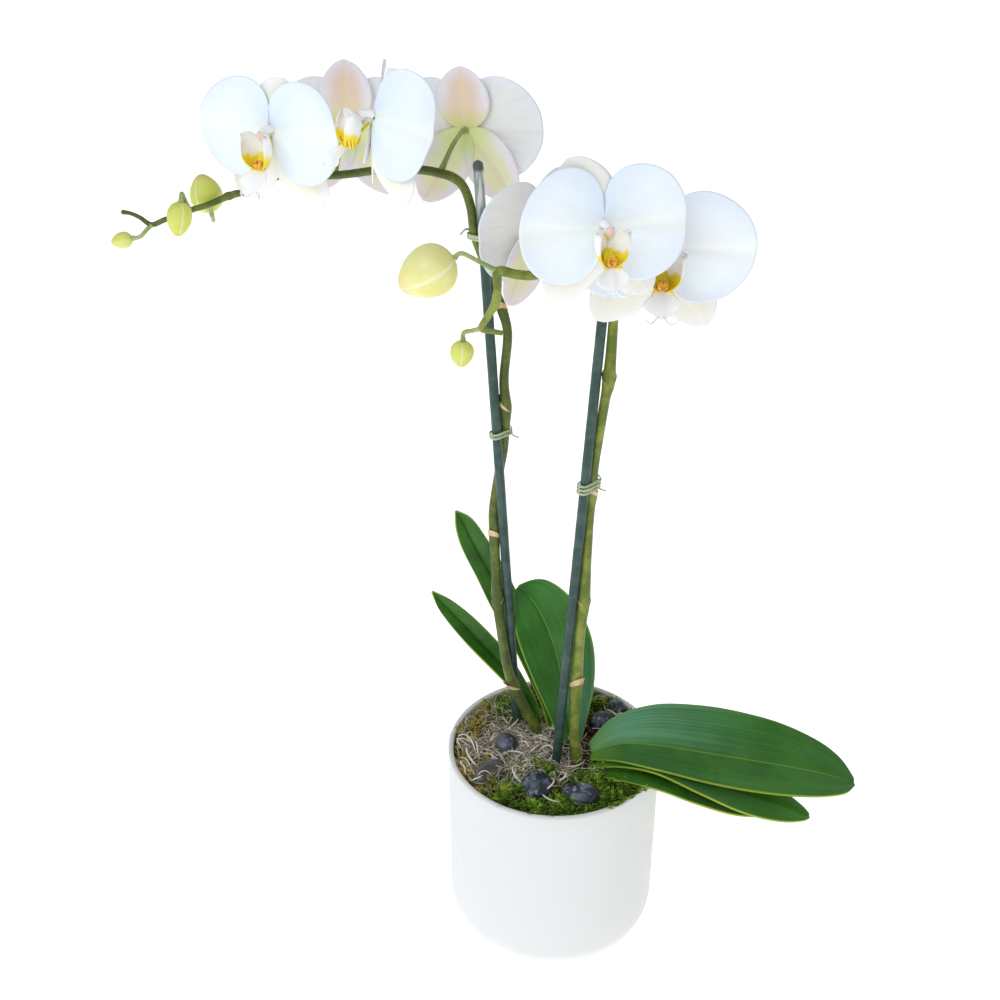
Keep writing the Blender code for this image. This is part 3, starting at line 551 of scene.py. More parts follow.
# %% Bark finish
bark, r, shader = new_finish("damp_bark", Specular_IOR_Level=0.3)
place = r.place()
chips = mottled(r, place, (0.060, 0.036, 0.022), (0.16, 0.105, 0.062), 150.0, 0.48, 0.66)
dust = speckle(r, place, 700.0, 0.60, 0.70, 0.35)
r.feed(shader, "Base Color", r.blend(dust, chips, (0.30, 0.23, 0.16)))
grained(r, shader, place, 1500.0, 260.0, (0.65, 0.92), 0.9, 0.0012)


# %% Bark bed and chips
def in_crown(x, y, more=0.0):
    dx, dy = x - CROWN_CENTRE[0], y - CROWN_CENTRE[1]
    return dx ** 2 + dy ** 2 < (CROWN_RADIUS + more) ** 2


def tangle_edge(turn):
    return 0.0275 + 0.0030 * sin(3 * turn + 0.6) + 0.0018 * sin(5 * turn)


def in_tangle(x, y, more=0.0):
    dx, dy = x - TANGLE_CENTRE[0], y - TANGLE_CENTRE[1]
    return dx * dx + dy * dy < (tangle_edge(atan2(dy, dx)) + more) ** 2


BED_RADIUS, CHIP_REACH, CHIPS = 0.0706, 0.066, 120
random.seed(4)
draft = Draft()
draft.grid([
    [(BED_RADIUS * ring / 18 * cos(2 * pi * k / 72),
      BED_RADIUS * ring / 18 * sin(2 * pi * k / 72),
      SOIL_TOP + 0.0016 + 0.0016 * noise.noise(Vector((ring * 0.9, 3 * cos(k), 3 * sin(k)))))
     for k in range(72)]
    for ring in range(1, 19)
][::-1], ring=True)
bark_spots = []
while len(bark_spots) < CHIPS:
    x, y = (random.uniform(-CHIP_REACH, CHIP_REACH) for _ in range(2))
    if x * x + y * y < CHIP_REACH ** 2 and (in_crown(x, y, 0.002) or random.random() < 0.25):
        bark_spots.append((x, y))
for x, y in bark_spots:
    size = Vector((random.uniform(0.0028, 0.0062), random.uniform(0.0018, 0.0036),
                   random.uniform(0.0010, 0.0022)))
    offset = Vector((x, y, 0)) * 300
    tilt = Matrix.Rotation(random.uniform(0, 2 * pi), 3, "Z") @ Matrix.Rotation(
        random.uniform(-0.5, 0.5), 3, "X")

    def chip(unit):
        square = Vector([abs(c) ** 0.6 * (1 if c > 0 else -1) for c in unit])
        return Vector([c * s for c, s in zip(square, size)]) * (
            1 + 0.28 * noise.noise(unit * 1.7 + offset))

    draft.ball((x, y, SOIL_TOP + 0.0028 + random.uniform(0, 0.0022)), chip, 0, 9, 6, tilt)
draft.make("bark_bed", [bark], "bark", ["growing_medium"])

# %% [markdown]
# ## Moss
# A mat of sheet moss, bright where it is fresh and golden where it dries at the
# wall. A soft cushion gives the mass, and thousands of short feathery sprigs give the
# edge. Each sprig is a bent stalk with pairs of tiny leaflets, made as plain faces,
# because at this size a strand of real geometry reads better than any bump.

# %% Moss finish
moss_finish, r, shader = new_finish("sheet_moss", Specular_IOR_Level=0.2, Roughness=0.85)
place = r.place()
tint, lift, _ = r.split(r.lay())
fresh = r.blend(tint, (0.040, 0.120, 0.008), (0.340, 0.500, 0.050))
dry_side = r.between(r.split(place)[0], -0.030, -0.060)
dry_share = r.maths("MULTIPLY_ADD", dry_side, 0.34, r.noise(place, 60.0))
tone = r.blend(r.between(dry_share, 0.58, 0.80), fresh, (0.420, 0.320, 0.070))
brown = r.between(r.noise(place, 140.0), 0.60, 0.72)
tone = r.blend(r.maths("MULTIPLY", brown, 0.55), tone, (0.120, 0.085, 0.030))
# Painted shade: the colour darkens to near black low in the mat, at the foot of each sprig
# and on the cushion under them.
painted_shade_low = r.between(lift, 0.05, 0.80)
r.feed(shader, "Base Color", r.blend(painted_shade_low, (0.016, 0.022, 0.006), tone))
bump(r, shader, r.noise(place, 1200.0), 0.5, 0.0005)


# %% Moss cushion and sprigs
MOSS_EDGE, MOSS_SWELL, MOSS_BUMPS = 0.006, 0.0016, 0.0010


def moss_height(x, y):
    """The cushion thins towards the wall, with broad swells and small bumps."""
    swell = MOSS_SWELL * noise.noise(Vector((x * 55, y * 55, 0.7)))
    bumps = MOSS_BUMPS * noise.noise(Vector((x * 210, y * 210, 4.0)))
    edge = ease(INNER_RADIUS, INNER_RADIUS - MOSS_EDGE, sqrt(x * x + y * y))
    return SOIL_TOP + MOSS_THICKNESS * (0.45 + 0.40 * edge) + swell + bumps


def on_moss(point):
    x, y = point[0], point[1]
    return not (in_crown(x, y, -0.004) or in_tangle(x, y, -0.003))


MOSS_RADIUS, SPRIG_REACH = 0.0705, 0.0700
SPRIGS, SPILLING = 5600, 170
random.seed(11)
draft = Draft()
draft.grid([circle(MOSS_RADIUS * ring / 30, 110, moss_height) for ring in range(30, 0, -1)],
           [[(0.35, 0.35)] * 111 for _ in range(30)], ring=True, keep=on_moss)


def sprig(x, y, z, tall, way, lean, tint):
    """A bent stalk with leaflets on both sides, each one small face."""
    out = Vector((cos(way), sin(way), 0))
    side = Vector((-out.y, out.x, 0))
    stalk = [Vector((x, y, z + tall * t)) + out * tall * lean * t * t
             for t in (0, 1 / 3, 2 / 3, 1)]
    for i in range(3):
        a, b, wide = stalk[i], stalk[i + 1], tall * 0.090
        rows = [[a - side * wide, a + side * wide],
                [b - side * wide * 0.6, b + side * wide * 0.6]]
        draft.grid(rows, [[(tint, i / 3)] * 2, [(tint, (i + 1) / 3)] * 2])
        for way_sign in (-1, 1):
            reach = tall * (0.46 - 0.09 * i)
            tip = b + side * way_sign * reach + out * reach * 0.5
            tip.z += reach * 0.35
            count = len(draft.points)
            draft.points.extend([tuple(a), tuple(b), tuple(tip)])
            draft.face((count, count + 1, count + 2),
                       ((tint, i / 3), (tint, (i + 1) / 3), (tint, 0.95)), 0)


made = 0
while made < SPRIGS:
    x, y = random.uniform(-0.071, 0.071), random.uniform(-0.071, 0.071)
    far = sqrt(x * x + y * y)
    if far > SPRIG_REACH or not on_moss((x, y)):
        continue
    if noise.noise(Vector((x * 90, y * 90, 8.0))) < -0.25 and random.random() < 0.6:
        continue
    clump = ease(-0.1, 0.5, noise.noise(Vector((x * 70, y * 70, 15.0))))
    tall = random.uniform(0.0026, 0.0048) * (1 + 0.8 * clump)
    sprig(x, y, moss_height(x, y) - 0.0008, tall, random.uniform(0, 2 * pi),
          random.uniform(0.1, 1.1), random.random() ** 1.6)
    made += 1
for _ in range(SPILLING):
    turn = radians(random.uniform(-62, 8))
    x, y = 0.0695 * cos(turn), 0.0695 * sin(turn)
    sprig(x, y, moss_height(x, y) + random.uniform(0.001, 0.004),
          random.uniform(0.0045, 0.0085), turn + random.uniform(-0.5, 0.5),
          random.uniform(0.5, 1.2), random.uniform(0.2, 0.9))
draft.make("moss_mat", [moss_finish], "moss", ["moss"])

# %% [markdown]
# ## Dry roots and fibres
# Curled grey-brown fibres lie in a loose nest round the stems, with thicker cream
# roots over them. Each one is a thin rod along its own wandering curve. The curl comes
# from turning the heading a little at every step.

# %% Fibre finishes
def fibre_finish(name, light, dark, scale):
    made, r, shader = new_finish(name, Specular_IOR_Level=0.25, Roughness=0.8)
    place = r.place()
    r.feed(shader, "Base Color", mottled(r, place, light, dark, scale, 0.42, 0.62, 0.9))
    bump(r, shader, r.noise(place, 1500.0), 0.6, 0.0003)
    return made


grey_fibre = fibre_finish("grey_fibre", (0.46, 0.41, 0.33), (0.20, 0.155, 0.105), 220.0)
straw_fibre = fibre_finish("straw_fibre", (0.72, 0.65, 0.53), (0.45, 0.36, 0.24), 260.0)
cream_root = fibre_finish("cream_root", (0.90, 0.85, 0.74), (0.68, 0.59, 0.43), 180.0)


# %% Nest of fibres
NEST_REACH, FIBRES, THICK_ROOTS = 0.0685, 560, 46


def nest_height(x, y):
    if in_tangle(x, y) or in_crown(x, y):
        return SOIL_TOP + 0.0042
    return SOIL_TOP + MOSS_THICKNESS + 0.0006


def curl(spot, heading, length, radius, bend, lift, finish, points=15, sides=5):
    """One fibre that wanders over the surface and arches a little off it."""
    x, y = spot
    path, turn_rate = [], random.uniform(-bend, bend)
    tall = random.uniform(0.3, 1.0) * lift
    phase = random.uniform(0, pi)
    for i in range(points):
        t = i / (points - 1)
        far = sqrt(x * x + y * y)
        if far > NEST_REACH:
            heading += 0.9
            x, y = x * NEST_REACH / far, y * NEST_REACH / far
        arch = tall * abs(sin(phase + 3.1 * t * pi / 2))
        path.append((x, y, nest_height(x, y) + radius + arch))
        step = length / (points - 1)
        x, y = x + step * cos(heading), y + step * sin(heading)
        turn_rate += random.uniform(-bend, bend) * 0.5
        heading += turn_rate * step * 1000
    draft.rod(path, [radius * (1 - 0.5 * abs(2 * i / (points - 1) - 1) ** 2)
                     for i in range(points)], sides, finish)


random.seed(23)
draft = Draft()
made = 0
while made < FIBRES:
    if random.random() < 0.72:
        turn, far = random.uniform(0, 2 * pi), 0.030 * sqrt(random.random())
        x, y = TANGLE_CENTRE[0] + far * cos(turn), TANGLE_CENTRE[1] + far * sin(turn)
    else:
        x, y = random.uniform(-0.045, 0.020), random.uniform(-0.036, 0.010)
    if x * x + y * y > 0.066 ** 2:
        continue
    curl((x, y), random.uniform(0, 2 * pi), random.uniform(0.016, 0.042),
         random.uniform(0.00022, 0.00042), 0.11, 0.0060, random.choice((0, 0, 1, 1)), 17, 4)
    made += 1
for _ in range(THICK_ROOTS):
    x, y = random.uniform(-0.058, 0.010), random.uniform(-0.036, 0.026)
    curl((x, y), random.uniform(0, 2 * pi), random.uniform(0.020, 0.044),
         random.uniform(0.00042, 0.00070), 0.10, 0.0080, 2, 22, 7)
for x, y, heading in ((0.038, 0.046, -1.2), (0.041, 0.038, -0.6), (0.030, 0.052, -0.2)):
    curl((x, y), heading, 0.030, 0.0006, 0.05, 0.006, 2, 18, 6)
draft.make("fibre_nest", [grey_fibre, straw_fibre, cream_root], "fibre", ["root_tangle"])

# %% [markdown]
# ## Stones
# Six tumbled stones, blue-black with pale mineral clouds, lie in the moss. Their broader
# blue-grey clouds are partly mineral colour and partly a painted highlight. Each is a
# ball stretched to its own three sizes with low bumps, as in the solid model, only
# finer. Their polish is uneven, so roughness follows the clouds.

# %% Stones
stone_finish, r, shader = new_finish("tumbled_stone", Specular_IOR_Level=0.55)
place = r.place()
# The blue-grey clouds are partly the stone's own colour and partly a painted highlight of
# its polish.
tone = mottled(r, place, (0.018, 0.023, 0.034), (0.125, 0.160, 0.230), 95.0, 0.45, 0.64)
tone = r.blend(speckle(r, place, 180.0, 0.56, 0.70, 0.75), tone, (0.46, 0.50, 0.56))
brown_stone = r.between(r.split(place)[0], -0.030, -0.040, 0.0, 0.6)
tone = r.blend(brown_stone, tone, (0.115, 0.098, 0.082))
earth = speckle(r, place, 420.0, 0.62, 0.70, 0.5)
r.feed(shader, "Base Color", r.blend(earth, tone, (0.17, 0.14, 0.11)))
grained(r, shader, place, 1300.0, 120.0, (0.22, 0.48), 0.25, 0.0004)

# Stones: (centre over the medium, sizes across, turn)
STONES = [
    ((-0.0335, 0.0020, 0.0085), (0.0170, 0.0160, 0.0130), 20),
    ((-0.0464, -0.0270, 0.0080), (0.0290, 0.0145, 0.0120), 52),
    ((-0.0127, -0.0425, 0.0095), (0.0215, 0.0230, 0.0150), 10),
    ((0.0172, -0.0500, 0.0088), (0.0270, 0.0180, 0.0135), -12),
    ((0.0367, 0.0281, 0.0085), (0.0190, 0.0150, 0.0120), 35),
    ((0.0478, 0.0430, 0.0090), (0.0150, 0.0120, 0.0110), -20),
]
for number, (spot, size, turn) in enumerate(STONES, 1):
    centre = over_medium(spot)

    def stone(unit):
        swell = 1 + 0.10 * noise.noise(unit * 1.3 + centre * 90)
        swell += 0.075 * noise.noise(unit * 2.6 + centre * 40)
        swell += 0.012 * noise.noise(unit * 8.0 + centre * 70)
        return Vector([c * s / 2 for c, s in zip(unit, size)]) * swell

    draft = Draft()
    spin = Matrix.Rotation(radians(turn), 3, "Z") @ Matrix.Rotation(radians(12), 3, "X")
    draft.ball(centre, stone, 0, 32, 20, spin)
    draft.make(f"stone_{number}", [stone_finish], "pebble", [f"pebble_{number}"])

# %% [markdown]
# ## Leaves
# Orchid leaves are thick, keeled straps. The midrib path and the widths come from the
# solid model. Each leaf is laid as a fine grid with a crease along the midrib, gentle
# waves towards the edges, and two finishes: a deep green face with fine lengthwise
# veins and a painted bluish sheen near the base that stands for a reflection, and a paler
# underside that shows at the edge.

# %% Leaf finishes
def leaf_finish(name, deep, fresh, pale, vein_and_painted_sheen, painted_sheen_share):
    made, r, shader = new_finish(name, Specular_IOR_Level=0.34)
    place, lay = r.place(), r.lay()
    across, along, _ = r.split(lay)
    veins = use_group(r, vein_tree, Lay=lay, Across=58.0, Along=1.6, Wander=0.10)
    tone = mottled(r, place, deep, fresh, 22.0, 0.40, 0.66)
    tone = r.blend(r.between(along, 0.55, 1.0, 0.0, 0.6), tone, fresh)
    tone = r.blend(r.maths("MULTIPLY", veins.outputs["Lines"], 0.20), tone, vein_and_painted_sheen)
    # Painted reflection: near the base, on one half of the blade, the colour is blended
    # towards the sheen colour in lengthwise streaks, as strongly as the finish's last value
    # allows.
    painted_sheen = r.maths("MULTIPLY", r.between(along, 0.62, 0.12), r.between(across, 0.44, 0.66))
    streaks = r.between(veins.outputs["Soft"], 0.30, 0.62, 0.45, 1.0)
    painted_sheen = r.maths("MULTIPLY", r.maths("MULTIPLY", painted_sheen, streaks), painted_sheen_share)
    tone = r.blend(painted_sheen, tone, vein_and_painted_sheen)
    away = r.maths("ABSOLUTE", r.maths("SUBTRACT", across, 0.5))
    for band in (r.between(away, 0.005, 0.016, 0.55, 0.0),
                 r.between(away, 0.478, 0.497, 0.0, 0.75),
                 r.between(along, 0.0, 0.16, 0.55, 0.0)):
        tone = r.blend(band, tone, pale)
    r.feed(shader, "Base Color", tone)
    grained(r, shader, place, 900.0, 55.0, (0.30, 0.46), 0.20, 0.0006,
            veins.outputs["Soft"], 2.2)
    return made


# Each finish: dark green, lighter green, pale midrib and margin, the vein tone that is also
# the painted sheen colour, and how much painted sheen it gets.
deep_leaf = leaf_finish("deep_leaf", (0.024, 0.105, 0.006), (0.052, 0.190, 0.012),
                        (0.150, 0.300, 0.020), (0.055, 0.170, 0.030), 0.10)
painted_sheen_leaf = leaf_finish("painted_sheen_leaf", (0.028, 0.140, 0.008), (0.046, 0.205, 0.016),
                         (0.240, 0.430, 0.060), (0.150, 0.380, 0.220), 0.85)
leaf_back = leaf_finish("leaf_back", (0.110, 0.230, 0.008), (0.180, 0.310, 0.014),
                        (0.400, 0.500, 0.040), (0.190, 0.300, 0.050), 0.0)

# %% Leaf paths and surfaces
# Each leaf: its midrib rows (x, y, height over the medium, share of the half width),
# the way across it at its base and at its tip, its half width, and its fold there.
LEAVES = [
    ("leaf_1", [(-0.0005, 0.0235, 0.0014, 0.30), (-0.0030, 0.035, 0.0135, 0.45),
                (-0.0100, 0.048, 0.032, 0.72), (-0.0228, 0.060, 0.0610, 0.92),
                (-0.0370, 0.0665, 0.089, 1.0), (-0.0468, 0.070, 0.1110, 0.98),
                (-0.0585, 0.0710, 0.1355, 0.85), (-0.0648, 0.0715, 0.1510, 0.58),
                (-0.0695, 0.0720, 0.1595, 0.05)],
     (0.9, 0.3, 0.2), (0.8, 0.2, 0.4), 0.0128, (35, 18)),
    ("leaf_2", [(-0.0085, 0.0245, 0.0014, 0.35), (-0.0155, 0.0385, 0.0145, 0.55),
                (-0.0265, 0.0490, 0.0262, 0.75), (-0.0392, 0.0540, 0.0415, 0.95),
                (-0.0548, 0.0570, 0.0598, 1.0), (-0.0677, 0.0590, 0.0752, 0.90),
                (-0.0794, 0.0600, 0.0893, 0.60), (-0.0870, 0.0610, 0.0990, 0.06)],
     (0.5, 0.5, 0.5), (0.45, 0.35, 0.8), 0.0105, (38, 20)),
    ("leaf_3", [(0.0125, 0.0085, 0.0014, 0.24), (0.0100, 0.0145, 0.020, 0.50),
                (0.0065, 0.0250, 0.044, 0.83), (0.0010, 0.0350, 0.0670, 1.0),
                (-0.0070, 0.0445, 0.0860, 0.95), (-0.0160, 0.0525, 0.0985, 0.68),
                (-0.0260, 0.0600, 0.1035, 0.08)],
     (1.0, 0.15, 0.10), (0.9, 0.1, 0.35), 0.0285, (26, 14)),
    ("leaf_4", [(0.0265, -0.0045, 0.0055, 0.22), (0.0450, -0.0080, 0.0170, 0.58),
                (0.0700, -0.0115, 0.0193, 0.84), (0.1000, -0.0145, 0.0160, 0.97),
                (0.1300, -0.0165, 0.0115, 1.0), (0.1600, -0.0180, 0.0065, 0.94),
                (0.1850, -0.0190, 0.0010, 0.76), (0.2015, -0.0200, -0.0035, 0.48),
                (0.2105, -0.0205, -0.0065, 0.10)],
     (0.0, 1.0, 0.24), (0.0, 1.0, 0.12), 0.0375, (15, 4)),
    ("leaf_5", [(0.0245, -0.0130, 0.0028, 0.26), (0.0480, -0.0185, 0.0136, 0.60),
                (0.0720, -0.0240, 0.0158, 0.85), (0.1000, -0.0335, 0.0095, 1.0),
                (0.1280, -0.0405, 0.0005, 1.0), (0.1530, -0.0435, -0.0070, 0.80),
                (0.1690, -0.0450, -0.0125, 0.40), (0.1750, -0.0455, -0.0145, 0.10)],
     (0.25, 1.0, -0.06), (0.1, 1.0, -0.03), 0.0235, (4, 2)),
    ("leaf_6", [(0.0230, -0.0190, 0.0016, 0.16), (0.0440, -0.0275, 0.0102, 0.55),
                (0.0700, -0.0350, 0.0128, 0.85), (0.0950, -0.0400, 0.0060, 0.95),
                (0.1170, -0.0430, -0.0020, 0.80), (0.1350, -0.0450, -0.0090, 0.40),
                (0.1410, -0.0455, -0.0115, 0.10)],
     (0.2, 1.0, 0.0), (0.1, 1.0, 0.0), 0.0215, (3, 2)),
]


KEEL_DEPTH, KEEL_WIDTH, KEEL_DROP, LEAF_WAVE = 0.0011, 0.0016, 0.0008, 0.0008


def leaf(label, midrib, side_low, side_high, half_width, fold, face_finish):
    rows = smooth_path(midrib, 8)
    count, wide = len(rows), 32
    sheet, lay = [], []
    for i, (x, y, height, share) in enumerate(rows):
        ahead, back = rows[min(i + 1, count - 1)], rows[max(i - 1, 0)]
        along = (Vector(ahead[:3]) - Vector(back[:3])).normalized()
        t = i / (count - 1)
        side = Vector(side_low).lerp(Vector(side_high), t)
        side = (side - along * side.dot(along)).normalized()
        normal = side.cross(along)
        flip = normal.z < 0 and abs(normal.z) > abs(normal.y)
        if flip:
            normal = -normal
        bend = radians(mix(fold[0], fold[1], t))
        spot = over_medium((x, y, height))
        line, places = [], []
        for k in range(wide + 1):
            across = 2 * k / wide - 1
            reach = across * half_width * max(share, 0.02)
            if across < 0:
                reach *= NARROW_SIDE
            far = abs(reach)
            crease = KEEL_DEPTH * (1 - exp(-far / KEEL_WIDTH)) - KEEL_DROP
            wave = LEAF_WAVE * share * across ** 2 * sin(9 * t + 2.2 * across + len(rows))
            raised = far * sin(bend) * (0.93 + 0.07 * abs(across)) + crease + wave
            line.append(spot + side * reach * cos(bend) + normal * raised)
            places.append((k / wide, t))
        sheet.append(line)
        lay.append(places)
    draft = Draft()
    if flip:
        sheet = [line[::-1] for line in sheet]
        lay = [line[::-1] for line in lay]
    draft.grid(sheet, lay)
    draft.make(label + "_blade", [face_finish, leaf_back, leaf_back], "leaf", [label],
               thick=FINE_LEAF, edge=1)


for row in LEAVES:
    # Leaves 3, 4 and 5 carry the strong painted sheen; the others carry a faint one.
    top_finish = painted_sheen_leaf if row[0] in ("leaf_3", "leaf_4", "leaf_5") else deep_leaf
    leaf(*row, top_finish)

# %% [markdown]
# ## Stakes and stems
# Two coated stakes, dark blue-green with tiny dimples, hold the flower stems. Each
# stem is one swept rod with swollen nodes, because that is how it grows. At a node a
# dry papery bract wraps half round the stem, and from the node a thin stalk leaves
# for each flower or bud.

# %% Stake finish
stake_finish, r, shader = new_finish("coated_stake", Specular_IOR_Level=0.45)
place = r.place()
coat = mottled(r, place, (0.020, 0.060, 0.050), (0.045, 0.092, 0.074), 110.0, 0.45, 0.62)
# Above a set height the stake is painted pale grey with dark streaks; the coated stake
# itself is dark green all along.
streak = r.between(r.noise(r.stretched(place, (420, 420, 25)), 1.0), 0.40, 0.60)
pale_top = r.blend(streak, (0.66, 0.68, 0.65), (0.26, 0.29, 0.27))
height = r.split(place)[2]
tone = r.blend(r.between(height, 0.512, 0.532), coat, pale_top)
dark_tip = r.between(height, 0.5445, 0.5475)
r.feed(shader, "Base Color", r.blend(dark_tip, tone, (0.09, 0.10, 0.11)))
grained(r, shader, place, 900.0, 150.0, (0.32, 0.50), 0.25, 0.0005)

# %% Stakes
STAKES = {
    "stake_left": ((-0.0255, 0.0300, 0.0), (-0.0517, 0.0620, 0.4061)),
    "stake_right": ((0.0010, -0.0133, 0.0), (0.0260, 0.0244, 0.3600)),
}


STAKE_DEPTH, STAKE_STEPS, TIP_STEPS = 0.038, 60, 6


def stake_at(name, height):
    low, high = (Vector(p) for p in STAKES[name])
    return over_medium(low.lerp(high, height / high.z))


for name in STAKES:
    foot, tip = stake_at(name, -STAKE_DEPTH), stake_at(name, STAKES[name][1][2])
    along = (tip - foot).normalized()
    path = [foot.lerp(tip, k / STAKE_STEPS) for k in range(STAKE_STEPS + 1)]
    radii = [STAKE_RADIUS * (1 + 0.012 * sin(k * 1.9)) for k in range(STAKE_STEPS + 1)]
    for k in range(1, TIP_STEPS):
        turn = pi / 2 * k / TIP_STEPS
        path.append(tip + along * STAKE_RADIUS * 0.9 * sin(turn))
        radii.append(STAKE_RADIUS * cos(turn))
    draft = Draft()
    draft.rod(path, radii, 24)
    draft.make(name + "_rod", [stake_finish], "stake", [name])

# %% Stem finishes
def stem_finish(name, green, light, dark, share):
    made, r, shader = new_finish(name, Specular_IOR_Level=0.4)
    place = r.place()
    tone = mottled(r, place, green, light, 70.0, 0.42, 0.64)
    dots = speckle(r, place, 900.0, 0.52, 0.62, share)
    r.feed(shader, "Base Color", r.blend(dots, tone, dark))
    grained(r, shader, place, 1100.0, 90.0, (0.36, 0.55), 0.25, 0.0004)
    return made


olive_stem = stem_finish("olive_stem", (0.075, 0.110, 0.012), (0.160, 0.200, 0.026),
                         (0.025, 0.030, 0.015), 0.5)
yellow_stem = stem_finish("yellow_stem", (0.125, 0.175, 0.016), (0.280, 0.320, 0.050),
                          (0.070, 0.060, 0.025), 0.35)
light_stalk = stem_finish("light_stalk", (0.240, 0.330, 0.090), (0.400, 0.460, 0.200),
                          (0.300, 0.200, 0.120), 0.15)
dry_bract = stem_finish("dry_bract", (0.640, 0.400, 0.190), (0.800, 0.640, 0.420),
                        (0.300, 0.160, 0.070), 0.45)

# %% Stem paths
# Beside a stake: (height over the medium, direction round the stake in degrees, free
# distance from it, share of the stem's thickness).
LEFT_BESIDE = [
    (0.0024, -41, 0.0165, 1.06), (0.020, -53, 0.0085, 1.05), (0.041, -88, 0.0012, 1.12),
    (0.060, -125, 0.0003, 1.0), (0.090, -158, 0.0003, 0.98), (0.109, -172, 0.0003, 1.10),
    (0.132, 175, 0.0003, 0.96), (0.155, 160, 0.0003, 0.95), (0.174, 138, 0.0003, 1.06),
    (0.199, 98, 0.0003, 0.92), (0.218, 62, 0.0003, 0.91), (0.234, 38, 0.0003, 0.90),
    (0.250, 20, 0.0003, 1.02), (0.270, 22, 0.0010, 0.88), (0.299, 10, 0.0048, 0.87),
    (0.315, 20, 0.0028, 0.86), (0.332, 58, 0.0003, 0.85), (0.348, 102, 0.0003, 0.85),
    (0.363, 141, 0.0003, 0.84), (0.379, 152, 0.0006, 0.83),
]
RIGHT_BESIDE = [
    (0.0012, -2, 0.0082, 1.10), (0.012, 0, 0.0060, 1.05), (0.035, 2, 0.0028, 1.0),
    (0.067, 4, 0.0008, 1.14), (0.105, 8, 0.0003, 1.0), (0.131, 14, 0.0003, 1.10),
    (0.163, 28, 0.0003, 0.97), (0.190, 42, 0.0003, 0.96), (0.207, 48, 0.0003, 1.10),
    (0.225, 46, 0.0003, 0.94), (0.246, 34, 0.0003, 0.93), (0.272, 14, 0.0006, 0.92),
    (0.285, 10, 0.0010, 1.06), (0.316, 14, 0.0008, 0.90), (0.341, 30, 0.0008, 0.88),
]
# Then the free arch: (x, y, height over the medium, share of the thickness).
LEFT_ARCH = [
    (-0.0605, 0.0695, 0.3900, 0.83), (-0.0667, 0.0735, 0.3950, 0.83),
    (-0.0754, 0.0785, 0.3965, 0.82), (-0.0878, 0.0860, 0.3965, 0.80),
    (-0.1084, 0.0970, 0.3940, 0.79), (-0.1450, 0.1110, 0.3860, 0.75),
    (-0.1625, 0.1155, 0.3870, 0.72), (-0.1790, 0.1175, 0.3850, 0.70),
    (-0.1985, 0.1155, 0.3756, 0.66), (-0.2120, 0.1090, 0.3736, 0.62),
    (-0.2250, 0.1010, 0.3700, 0.58), (-0.2365, 0.0950, 0.3678, 0.55),
    (-0.2516, 0.0890, 0.3636, 0.50), (-0.2600, 0.0870, 0.3610, 0.48),
    (-0.2665, 0.0860, 0.3660, 0.40), (-0.2720, 0.0850, 0.3690, 0.36),
    (-0.2767, 0.0840, 0.3701, 0.44),
]
RIGHT_ARCH = [
    (0.0315, 0.0320, 0.3520, 0.88), (0.0275, 0.0315, 0.3680, 0.88),
    (0.0180, 0.0260, 0.3800, 0.86), (0.0055, 0.0170, 0.3765, 0.84),
    (-0.0065, 0.0060, 0.3680, 0.82), (-0.0166, -0.0030, 0.3610, 0.80),
    (-0.0282, -0.0065, 0.3620, 0.78), (-0.0390, -0.0070, 0.3640, 0.84),
    (-0.0395, -0.0065, 0.3550, 0.70), (-0.0407, -0.0060, 0.3445, 0.78),
    (-0.0452, -0.0050, 0.3360, 0.60), (-0.0490, -0.0040, 0.3280, 0.58),
    (-0.0430, -0.0040, 0.3262, 0.46), (-0.0368, -0.0040, 0.3250, 0.44),
]


def stem_path(side, beside, arch):
    controls = []
    for height, turn, free, share in beside:
        radius = STEM_RADIUS * share
        apart = STAKE_RADIUS + radius + CLEARANCE + free
        spot = stake_at(side, height) + apart * heading_of(turn)
        controls.append([*spot, radius])
    for x, y, height, share in arch:
        controls.append([x, y, SOIL_TOP + height, STEM_RADIUS * share])
    return controls


left_controls = stem_path("stake_left", LEFT_BESIDE, LEFT_ARCH)
right_controls = stem_path("stake_right", RIGHT_BESIDE, RIGHT_ARCH)
print("stem points:", len(left_controls), "left,", len(right_controls), "right")

# %% [markdown]
# ## Where the flowers and buds sit
# Every flower has a place, a width, a heading, and the shape of its own petals. The
# numbers are the solid model's, so the fine flowers fill the same space.

# %% Flower and bud places
# (name, junction over the medium, width, yaw, pitch, roll, petal height as a share of
#  width, (top sepal length share, its lean), (sepal bend, petal bend, sweep back),
#  stem point of the stalk)
LEFT_FLOWERS = [
    ("flower_1", (-0.1792, 0.0900, 0.4187), 0.102, -26, 2, 0, 0.60, (0.33, -16),
     (0.22, 0.10, 0.0), -10),
    ("flower_2", (-0.1375, 0.1420, 0.4100), 0.097, 176, 0, 0, 0.62, (0.44, 0),
     (0.25, 0.05, 0.0), -12),
    ("flower_3", (-0.1129, 0.0620, 0.4339), 0.096, -66, 14, 2, 0.65, (0.33, -20),
     (0.22, 0.00, 0.40), -13),
    ("flower_4", (-0.0598, 0.1010, 0.4176), 0.100, 162, 0, -5, 0.62, (0.39, 3),
     (0.25, 0.05, 0.0), -15),
]
RIGHT_FLOWERS = [
    ("flower_5", (0.0175, -0.0400, 0.4009), 0.094, 14, 4, 0, 0.67, (0.44, 28),
     (0.22, 0.10, 0.0), -9),
    ("flower_6", (-0.0142, 0.0310, 0.3773), 0.094, -140, 0, 2, 0.62, (0.40, 20),
     (0.22, 0.05, 0.0), -11),
    ("flower_7", (0.0537, -0.0040, 0.3776), 0.108, 3, 4, -4, 0.59, (0.35, 18),
     (0.18, 0.10, 0.0), -14),
]
